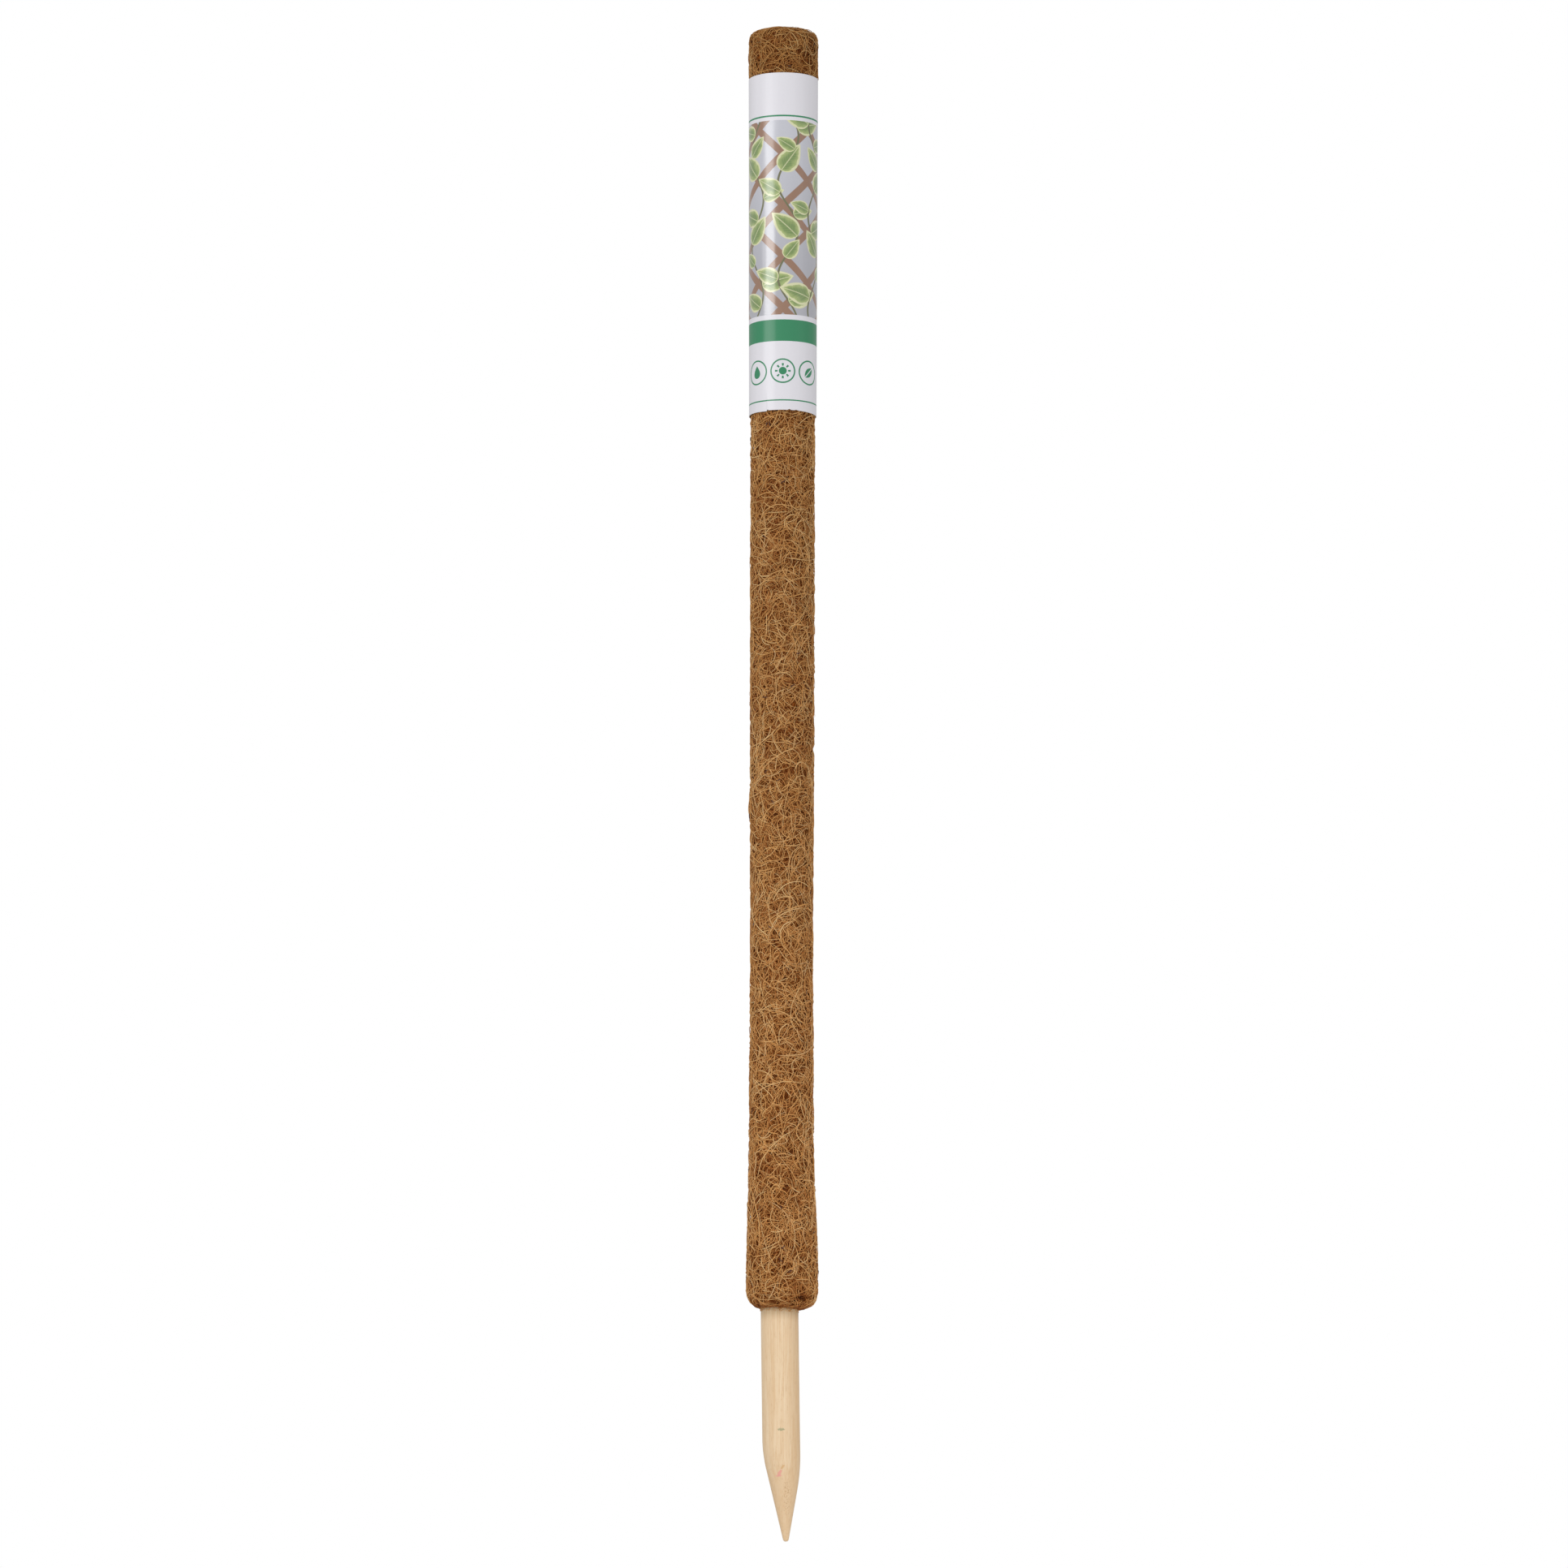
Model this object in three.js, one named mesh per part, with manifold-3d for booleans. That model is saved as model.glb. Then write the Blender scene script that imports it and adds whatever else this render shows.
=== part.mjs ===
// Moss pole: a pointed wooden stake wrapped in a coconut-fibre mat, with a printed card sleeve near its top.
// Millimetres, +Z up. The origin is on the stake's axis at the mat's lower end, where the soil comes to.
// The front, which shows in use, faces -Y. The seams of the mat and of the sleeve face +Y.

import * as THREE from "three";
import { mergeVertices } from "three/addons/utils/BufferGeometryUtils.js";
import Module from "manifold-3d";

// The stake
const STAKE_DIAMETER = 22;
const STAKE_BURIED_LENGTH = 136;
const STAKE_PROUD = 1; // of the mat's upper end
const STAKE_TOP_CHAMFER = 0.8;
const POINT_LENGTH = 45; // on the stake's axis
const POINT_TIP_DIAMETER = 2.9;
const POINT_OFFSET = 3.2; // the tip stands off centre, towards +X
const POINT_LEAN = 0.0345; // how far the middle of the cut comes back for each millimetre up

// The mat
const MAT_LENGTH = 763;
const MAT_DIAMETER = 38.2;
const MAT_HEAD_DIAMETER = 38.8; // under the sleeve and above it
const MAT_HEAD_RISE = 70; // height over which the body widens to the head
const MAT_FOOT_DIAMETER = 43; // where the lower end swells out
const MAT_FOOT_HEIGHT = 10.5; // of the widest place
const MAT_FOOT_RISE = 92; // height over which the foot narrows to the body
const MAT_FOOT_LIP = 0.5; // flat ring round the stake, inside the rounded lower end
const MAT_HEAD_ROUND = 2.2; // how far in its rounded upper edge reaches
const MAT_HEAD_DOME = 1.6; // and how far down
const MAT_SEAM_WIDTH = 0.8;

// The staples along the mat's seam
const STAPLE_COUNT = 7;
const STAPLE_END_INSET = 18; // from the mat's ends to the first and last staple
const STAPLE_WIDTH = 10;
const STAPLE_LEG = 12;
const STAPLE_WIRE = 0.9;
const STAPLE_PINCH = 4.2; // thickness of mat left between a staple and the stake

// The sleeve
const SLEEVE_LENGTH = 205;
const SLEEVE_TOP_INSET = 28; // below the mat's upper end
const SLEEVE_WALL = 0.3;
const SLEEVE_TAPER = 1.4; // its upper end is this much wider than its lower end
const LAP_WIDTH = 12;
const LAP_RAMP = 5; // length over which the outer end climbs onto the inner one
const TAPE_THICKNESS = 0.2;
const TAPE_WIDTH = 8;
const TAPE_END_INSET = 5;

// Clearances and facets
const FIT_CLEARANCE = 0.3;
const TAPE_CLEARANCE = 0.1;
const CUT_MARGIN = 5; // how far a cutting solid runs past what it cuts
const STAKE_SIDES = 48;
const MAT_SIDES = 48;
const MAT_CURVE_STEPS = 7;
const SLEEVE_SIDES = 72;

// Sizes that follow
const stakeRadius = STAKE_DIAMETER / 2;
const stakeTop = MAT_LENGTH + STAKE_PROUD;
const stakeLength = STAKE_BURIED_LENGTH + stakeTop;
const matBore = stakeRadius + FIT_CLEARANCE;
const sleeveBase = MAT_LENGTH - SLEEVE_TOP_INSET - SLEEVE_LENGTH;
const sleeveBore = MAT_HEAD_DIAMETER / 2 + FIT_CLEARANCE; // radius at the lower end
const lapGap = TAPE_THICKNESS + 2 * TAPE_CLEARANCE;

const finishes = {
  wood: new THREE.MeshStandardMaterial({ color: 0xe6c9a4, roughness: 0.7, metalness: 0 }),
  coir: new THREE.MeshStandardMaterial({ color: 0x92673d, roughness: 0.95, metalness: 0 }),
  card: new THREE.MeshStandardMaterial({ color: 0xdcdae0, roughness: 0.3, metalness: 0 }),
  tape: new THREE.MeshStandardMaterial({ color: 0xe9e4cf, roughness: 0.6, metalness: 0 }),
  wire: new THREE.MeshStandardMaterial({ color: 0xa8a9ab, roughness: 0.35, metalness: 1 }),
};

const wasm = await Module();
wasm.setup();

// A closed geometry as a solid that can be joined and cut
function toSolid(geometry) {
  const bare = geometry.clone();
  bare.deleteAttribute("normal");
  bare.deleteAttribute("uv");
  const merged = mergeVertices(bare, 1e-4);
  return new wasm.Manifold(
    new wasm.Mesh({
      numProp: 3,
      vertProperties: new Float32Array(merged.attributes.position.array),
      triVerts: new Uint32Array(merged.index.array),
    }),
  );
}

// A solid back as a geometry
function toGeometry(solid) {
  const mesh = solid.getMesh();
  const geometry = new THREE.BufferGeometry();
  geometry.setAttribute("position", new THREE.BufferAttribute(new Float32Array(mesh.vertProperties), 3));
  geometry.setIndex(new THREE.BufferAttribute(new Uint32Array(mesh.triVerts), 1));
  geometry.computeVertexNormals();
  return geometry;
}

// A profile of radius and height, turned about the Z axis
function turned(profile, sides) {
  return new THREE.LatheGeometry(profile, sides).rotateX(Math.PI / 2);
}

function named(name, geometry, material) {
  const mesh = new THREE.Mesh(geometry, material);
  mesh.name = name;
  return mesh;
}

// One staple in the XY plane: its crown lies across the seam and its legs point at the stake's axis.
// A cut for it is larger all round by grow, and open from its crown outwards to the radius openTo.
function stapleGeometry(height, grow = 0, openTo = 0) {
  const crown = stakeRadius + STAPLE_PINCH + STAPLE_WIRE;
  const outer = STAPLE_WIDTH / 2 + grow;
  const inner = STAPLE_WIDTH / 2 - STAPLE_WIRE - grow;
  const top = Math.max(crown + grow, openTo);
  const under = crown - STAPLE_WIRE - grow;
  const tip = crown - STAPLE_LEG - grow;
  const outline = new THREE.Shape();
  outline.moveTo(-outer, tip + STAPLE_WIRE);
  outline.lineTo(-inner, tip);
  outline.lineTo(-inner, under);
  outline.lineTo(inner, under);
  outline.lineTo(inner, tip);
  outline.lineTo(outer, tip + STAPLE_WIRE);
  outline.lineTo(outer, top);
  outline.lineTo(-outer, top);
  outline.closePath();
  const depth = STAPLE_WIRE + 2 * grow;
  const geometry = new THREE.ExtrudeGeometry(outline, { depth, bevelEnabled: false });
  return geometry.translate(0, 0, height - depth / 2);
}

const staplePitch = (MAT_LENGTH - 2 * STAPLE_END_INSET) / (STAPLE_COUNT - 1);
const stapleHeights = Array.from({ length: STAPLE_COUNT }, (_, i) => STAPLE_END_INSET + i * staplePitch);

function cutForStaples(solid) {
  const openTo = Math.max(MAT_FOOT_DIAMETER, MAT_HEAD_DIAMETER, MAT_DIAMETER) / 2 + CUT_MARGIN;
  return stapleHeights.reduce(
    (rest, height) => rest.subtract(toSolid(stapleGeometry(height, FIT_CLEARANCE, openTo))),
    solid,
  );
}

// A round bar whose lower end is cut to a blunt point by a leaning cone that stands off its axis
function stakeGeometry() {
  const tipRadius = POINT_TIP_DIAMETER / 2;
  const slope = (stakeRadius - tipRadius) / POINT_LENGTH;
  const bar = turned(
    [
      new THREE.Vector2(0, -STAKE_BURIED_LENGTH - CUT_MARGIN),
      new THREE.Vector2(stakeRadius, -STAKE_BURIED_LENGTH - CUT_MARGIN),
      new THREE.Vector2(stakeRadius, stakeTop - STAKE_TOP_CHAMFER),
      new THREE.Vector2(stakeRadius - STAKE_TOP_CHAMFER, stakeTop),
      new THREE.Vector2(0, stakeTop),
    ],
    STAKE_SIDES,
  );
  const coneLength = stakeLength + CUT_MARGIN;
  const cone = turned(
    [
      new THREE.Vector2(0, 0),
      new THREE.Vector2(tipRadius, 0),
      new THREE.Vector2(tipRadius + slope * coneLength, coneLength),
      new THREE.Vector2(0, coneLength),
    ],
    STAKE_SIDES,
  );
  cone.applyMatrix4(new THREE.Matrix4().makeShear(0, 0, 0, 0, -POINT_LEAN, 0));
  cone.translate(POINT_OFFSET, 0, -STAKE_BURIED_LENGTH);
  return toGeometry(cutForStaples(toSolid(bar).intersect(toSolid(cone))));
}

// A tube of fibre with a rounded, swollen lower end and a wider head, slit down its back where its edges meet
function matGeometry() {
  const body = MAT_DIAMETER / 2;
  const head = MAT_HEAD_DIAMETER / 2;
  const foot = MAT_FOOT_DIAMETER / 2;
  const footFlat = matBore + MAT_FOOT_LIP;
  const footTop = MAT_FOOT_HEIGHT + MAT_FOOT_RISE;
  const headBottom = sleeveBase - MAT_HEAD_RISE;
  const profile = new THREE.Path();
  profile.moveTo(matBore, 0);
  profile.lineTo(footFlat, 0);
  profile.absellipse(footFlat, MAT_FOOT_HEIGHT, foot - footFlat, MAT_FOOT_HEIGHT, -Math.PI / 2, 0, false, 0);
  profile.bezierCurveTo(
    foot, MAT_FOOT_HEIGHT + MAT_FOOT_RISE / 3,
    body, footTop - MAT_FOOT_RISE / 3,
    body, footTop,
  );
  profile.lineTo(body, headBottom);
  profile.bezierCurveTo(
    body, headBottom + MAT_HEAD_RISE / 3,
    head, sleeveBase - MAT_HEAD_RISE / 3,
    head, sleeveBase,
  );
  const domeBase = MAT_LENGTH - MAT_HEAD_DOME;
  profile.lineTo(head, domeBase);
  profile.absellipse(head - MAT_HEAD_ROUND, domeBase, MAT_HEAD_ROUND, MAT_HEAD_DOME, 0, Math.PI / 2, false, 0);
  profile.lineTo(matBore, MAT_LENGTH);
  profile.lineTo(matBore, 0);
  const tube = turned(profile.getPoints(MAT_CURVE_STEPS), MAT_SIDES);

  const slitDepth = Math.max(foot, head, body) + CUT_MARGIN;
  const slit = new THREE.BoxGeometry(MAT_SEAM_WIDTH, slitDepth, MAT_LENGTH + 2 * CUT_MARGIN);
  slit.translate(0, slitDepth / 2, MAT_LENGTH / 2);
  return toGeometry(cutForStaples(toSolid(tube).subtract(toSolid(slit))));
}

// A point of the rolled card, by the angle from its inner end and the distance out from its inner face
const lapAngle = LAP_WIDTH / sleeveBore;
const rampAngle = LAP_RAMP / sleeveBore;
const fullTurn = 2 * Math.PI;

function cardPoint(angle, out) {
  const climb = THREE.MathUtils.smoothstep(angle, fullTurn - rampAngle, fullTurn);
  const radius = sleeveBore + climb * (SLEEVE_WALL + lapGap) + out;
  const bearing = Math.PI / 2 - lapAngle / 2 + angle;
  return new THREE.Vector2(radius * Math.cos(bearing), radius * Math.sin(bearing));
}

// The angles between two ends, with a facet edge at each whole step so that the lapped layers stay parallel
function cardAngles(from, to) {
  const step = fullTurn / SLEEVE_SIDES;
  const angles = [from];
  for (let i = Math.floor(from / step) + 1; i * step < to - step / 4; i++) {
    angles.push(i * step);
  }
  angles.push(to);
  return angles;
}

// A band of the rolled card, stood up and widened towards its upper end
function cardBand(from, to, near, far, base, length) {
  const angles = cardAngles(from, to);
  const outside = angles.map((angle) => cardPoint(angle, far));
  const inside = angles.map((angle) => cardPoint(angle, near)).reverse();
  const geometry = new THREE.ExtrudeGeometry(new THREE.Shape([...outside, ...inside]), {
    depth: length,
    bevelEnabled: false,
  }).translate(0, 0, base);
  const places = geometry.attributes.position;
  for (let i = 0; i < places.count; i++) {
    const widening = 1 + ((SLEEVE_TAPER / 2) * places.getZ(i)) / SLEEVE_LENGTH / sleeveBore;
    places.setXY(i, places.getX(i) * widening, places.getY(i) * widening);
  }
  return geometry;
}

function sleeveGeometry() {
  return cardBand(0, fullTurn + lapAngle, 0, SLEEVE_WALL, 0, SLEEVE_LENGTH);
}

function tapeGeometry() {
  const inset = (lapAngle - TAPE_WIDTH / sleeveBore) / 2;
  const near = SLEEVE_WALL + TAPE_CLEARANCE;
  const length = SLEEVE_LENGTH - 2 * TAPE_END_INSET;
  return cardBand(inset, lapAngle - inset, near, near + TAPE_THICKNESS, TAPE_END_INSET, length);
}

const pole = new THREE.Group();
pole.add(named("stake", stakeGeometry(), finishes.wood));
pole.add(named("coir_mat", matGeometry(), finishes.coir));
stapleHeights.forEach((height, i) => {
  pole.add(named(`seam_staple_${i + 1}`, stapleGeometry(height), finishes.wire));
});

const sleeve = new THREE.Group();
sleeve.position.z = sleeveBase;
sleeve.add(named("label_sleeve", sleeveGeometry(), finishes.card));
sleeve.add(named("sleeve_lap_tape", tapeGeometry(), finishes.tape));

const mossPole = new THREE.Group();
mossPole.add(pole, sleeve);

export default mossPole;
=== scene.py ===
"""Moss pole, dressed for rendering.

A pointed wooden stake, a mat of coconut fibre wrapped round it and stapled down its back, and a printed card
sleeve that slides on the mat. Metres, +Z up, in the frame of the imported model: the origin is on the stake's
axis at the mat's lower end, the front faces -Y and the seams face +Y.
"""

import logging
import math
from dataclasses import dataclass, fields, replace
from enum import Enum, IntEnum
from typing import Any, Callable, Sequence, Union

import bpy
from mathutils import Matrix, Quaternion, Vector, noise

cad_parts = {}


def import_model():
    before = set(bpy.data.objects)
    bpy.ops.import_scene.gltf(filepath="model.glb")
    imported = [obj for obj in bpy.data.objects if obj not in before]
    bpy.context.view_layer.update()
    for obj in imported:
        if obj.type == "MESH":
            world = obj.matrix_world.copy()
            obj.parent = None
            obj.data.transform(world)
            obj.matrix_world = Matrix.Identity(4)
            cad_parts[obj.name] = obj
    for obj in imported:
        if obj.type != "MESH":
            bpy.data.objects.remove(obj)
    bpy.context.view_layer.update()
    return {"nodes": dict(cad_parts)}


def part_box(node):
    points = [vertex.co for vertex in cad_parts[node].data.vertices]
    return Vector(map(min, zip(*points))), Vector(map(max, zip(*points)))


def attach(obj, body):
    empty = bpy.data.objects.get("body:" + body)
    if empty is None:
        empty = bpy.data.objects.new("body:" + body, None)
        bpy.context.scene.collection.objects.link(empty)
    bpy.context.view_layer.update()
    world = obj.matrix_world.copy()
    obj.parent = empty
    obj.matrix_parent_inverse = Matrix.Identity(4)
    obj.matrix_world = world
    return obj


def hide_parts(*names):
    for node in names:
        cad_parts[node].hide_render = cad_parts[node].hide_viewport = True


LOG = logging.getLogger("moss_pole")
MM = 0.001
BAKE_MAP = "OFBake"
PRINT_MAP = "print"
# The fibres' stored tint: their own brown tone times painted shade for depth, flanks, the dent and the
# underside.
TINT = "fibre_tint_and_shade"
DIAGONAL = 0.7071

Colour = tuple[float, float, float, float]
Point = tuple[float, float, float]
Pair = tuple[float, float]


def srgb(red: float, green: float, blue: float) -> Colour:
    """Turns a colour as it is seen, 0 to 255, into the linear one that shaders take.

    Args:
        red: Red part.
        green: Green part.
        blue: Blue part.

    Returns:
        The linear colour with full alpha.
    """

    def linear(part: float) -> float:
        """Undoes the display curve of one part."""
        share = part / 255
        return share / 12.92 if share <= 0.04045 else ((share + 0.055) / 1.055) ** 2.4

    return (linear(red), linear(green), linear(blue), 1.0)


def smoothstep(value: float, low: float, high: float) -> float:
    """Rises smoothly from 0 at low to 1 at high.

    Args:
        value: Where to look.
        low: Where the rise starts.
        high: Where the rise ends.

    Returns:
        The height there, from 0 to 1.
    """
    share = min(max((value - low) / (high - low), 0.0), 1.0)
    return share * share * (3 - 2 * share)


def operator(operation: str, swapped: bool = False) -> Callable[["Wire", "Value"], "Wire"]:
    """Makes a wire's method for one arithmetic sign.

    Args:
        operation: The Math node's operation.
        swapped: Whether the wire is the second of the two values.

    Returns:
        The method, which adds the node.
    """

    def apply(wire: "Wire", other: "Value") -> "Wire":
        """Adds the Math node."""
        values = (other, wire) if swapped else (wire, other)
        return wire.sheet.math(operation, *values)

    return apply


class Wire:
    """A node's output that takes part in arithmetic: each operator adds a Math node."""

    __add__ = operator("ADD")
    __radd__ = operator("ADD", swapped=True)
    __sub__ = operator("SUBTRACT")
    __rsub__ = operator("SUBTRACT", swapped=True)
    __mul__ = operator("MULTIPLY")
    __rmul__ = operator("MULTIPLY", swapped=True)
    __truediv__ = operator("DIVIDE")
    __rtruediv__ = operator("DIVIDE", swapped=True)
    __pow__ = operator("POWER")
    __lt__ = operator("LESS_THAN")
    __gt__ = operator("GREATER_THAN")

    def __init__(self, sheet: "Sheet", socket: bpy.types.NodeSocket) -> None:
        """Holds the output and the sheet that it is on."""
        self.sheet = sheet
        self.socket = socket

    def __abs__(self) -> "Wire":
        """Size without its sign."""
        return self.sheet.math("ABSOLUTE", self)

    def also(self, name: str) -> "Wire":
        """Another output of the same node."""
        return Wire(self.sheet, self.socket.node.outputs[name])


Value = Union[Wire, float, int, str, bool, Sequence[float]]


class Sheet:
    """A node tree that is being drawn, for a material, a world or a shape."""

    def __init__(self, tree: bpy.types.NodeTree) -> None:
        """Starts an empty sheet."""
        self.tree = tree
        tree.nodes.clear()

    def add(
        self,
        kind: str,
        settings: dict[str, Any] | None = None,
        sockets: dict[Union[str, int], Value] | None = None,
        out: Union[str, int] = 0,
    ) -> Wire | None:
        """Adds a node, with its settings made first and then its sockets.

        Args:
            kind: The node's type.
            settings: Its properties; stops gives a ramp's places and colours.
            sockets: A value or a wire for each input, by name or place.
            out: The output that is wanted, by name or place.

        Returns:
            That output, or None for a node that has none.
        """
        node = self.tree.nodes.new(kind)
        for name, value in (settings or {}).items():
            if name == "stops":
                self._set_stops(node.color_ramp, value)
            else:
                setattr(node, name, value)
        for key, value in (sockets or {}).items():
            socket = self._find(node.inputs, key)
            if isinstance(value, Wire):
                self.tree.links.new(value.socket, socket)
            else:
                socket.default_value = value
        return Wire(self, self._find(node.outputs, out)) if node.outputs else None

    @staticmethod
    def _find(sockets: Any, key: Union[str, int]) -> bpy.types.NodeSocket:
        """The socket in use that has this name, or this place among those in use."""
        used = [socket for socket in sockets if socket.enabled]
        return used[key] if isinstance(key, int) else next(socket for socket in used if socket.name == key)

    @staticmethod
    def _set_stops(ramp: bpy.types.ColorRamp, stops: Sequence[tuple[float, Colour]]) -> None:
        """Gives a ramp its places and colours."""
        while len(ramp.elements) < len(stops):
            ramp.elements.new(1.0)
        for element, (place, colour) in zip(ramp.elements, stops):
            element.position = place
            element.color = colour

    def math(self, operation: str, *values: Value) -> Wire:
        """A Math node's result."""
        return self.add("ShaderNodeMath", {"operation": operation}, dict(enumerate(values)))

    def rise(self, value: Value, low: Value, high: Value) -> Wire:
        """A smooth rise from 0 where value is low to 1 where it is high."""
        ends = {"Value": value, "From Min": low, "From Max": high}
        return self.add("ShaderNodeMapRange", {"interpolation_type": "SMOOTHSTEP"}, ends)

    def mix(self, under: Value, over: Value, share: Value, blend: str = "MIX") -> Wire:
        """One colour laid over another."""
        settings = {"data_type": "RGBA", "blend_type": blend}
        return self.add("ShaderNodeMix", settings, {"Factor": share, "A": under, "B": over})

    def ramp(self, value: Value, stops: Sequence[tuple[float, Colour]]) -> Wire:
        """A colour read from a ramp."""
        return self.add("ShaderNodeValToRGB", {"stops": stops}, {"Fac": value})

    def noise(self, place: Wire, scale: Value, detail: float, distortion: float = 0.0) -> Wire:
        """A noise value near 0.5 at a place."""
        sockets = {"Vector": place, "Scale": scale, "Detail": detail, "Distortion": distortion}
        return self.add("ShaderNodeTexNoise", None, sockets)

    def stretched(self, place: Wire, scale: Point, turn: Point = (0, 0, 0)) -> Wire:
        """A place with its axes stretched, for patterns that run one way."""
        return self.add("ShaderNodeMapping", None, {"Vector": place, "Scale": scale, "Rotation": turn})

    def bump(self, height: Wire, distance: float, strength: float) -> Wire:
        """A normal from a height."""
        relief = {"Height": height, "Distance": distance, "Strength": strength}
        return self.add("ShaderNodeBump", None, relief)

    def parts(self, vector: Wire) -> tuple[Wire, Wire, Wire]:
        """A vector's three numbers."""
        split = self.add("ShaderNodeSeparateXYZ", None, {"Vector": vector})
        return split, split.also("Y"), split.also("Z")

    def vector(self, x: Value, y: Value, z: Value) -> Wire:
        """A vector of three numbers."""
        return self.add("ShaderNodeCombineXYZ", None, {"X": x, "Y": y, "Z": z})

    def stored(self, shape: Wire, name: str, value: Wire, kind: str = "FLOAT", domain: str = "POINT") -> Wire:
        """A shape that keeps a value under a name, at its points or its corners."""
        sockets = {"Geometry": shape, "Name": name, "Value": value}
        return self.add("GeometryNodeStoreNamedAttribute", {"data_type": kind, "domain": domain}, sockets)

    def kept(self, name: str) -> Wire:
        """A number that was stored under a name."""
        return self.add("GeometryNodeInputNamedAttribute", {"data_type": "FLOAT"}, {"Name": name})


@dataclass(frozen=True)
class Finish:
    """A finish with one colour idea, drawn as a material under its name."""

    name: str
    roughness: float = 0.5

    def material(self) -> bpy.types.Material:
        """Draws the finish.

        Returns:
            The new material.
        """
        made = bpy.data.materials.new(self.name)
        made.use_nodes = True
        sheet = Sheet(made.node_tree)
        sockets = {"Roughness": self.roughness}
        sockets.update(self.surface(sheet))
        body = sheet.add("ShaderNodeBsdfPrincipled", None, sockets)
        sheet.add("ShaderNodeOutputMaterial", None, {"Surface": body})
        return made

    def surface(self, sheet: Sheet) -> dict[str, Value]:
        """What this finish sets on the surface's sockets."""
        raise NotImplementedError

    @staticmethod
    def place(sheet: Sheet) -> Wire:
        """Where a point of the piece is, in metres."""
        return sheet.add("ShaderNodeTexCoord", out="Object")


@dataclass(frozen=True)
class Stain:
    """A small soft-edged mark on the front of the wood: its place, its reach and how it is turned."""

    colour: Colour
    centre: Pair
    reach: Pair
    turn: float
    strength: float
    ragged: float = 0.9
    edge: Pair = (0.6, 1.0)

    def over(self, sheet: Sheet, under: Wire, x: Wire, z: Wire, blotch: Wire, front: Wire) -> Wire:
        """Lays the mark on the wood.

        Args:
            sheet: The material's sheet.
            under: The colour so far.
            x: Across.
            z: Up.
            blotch: Noise that breaks the mark's edge.
            front: A mask of the front.

        Returns:
            The stained colour.
        """
        right, up = x - self.centre[0], z - self.centre[1]
        cosine, sine = math.cos(self.turn), math.sin(self.turn)
        across = (right * cosine + up * sine) / self.reach[0]
        along = (up * cosine - right * sine) / self.reach[1]
        far = sheet.math("SQRT", across * across + along * along) + (blotch - 0.5) * self.ragged
        return sheet.mix(under, self.colour, (1 - sheet.rise(far, *self.edge)) * front * self.strength)


@dataclass(frozen=True)
class Grain:
    """A noise drawn out along the bar: its scale, the share of it along the bar, detail and distortion."""

    scale: float
    along: float
    detail: float
    distortion: float = 0.0

    def drawn(self, sheet: Sheet, place: Wire) -> Wire:
        """The noise at a place."""
        flow = sheet.stretched(place, (1, 1, self.along))
        return sheet.noise(flow, self.scale, self.detail, self.distortion)


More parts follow.
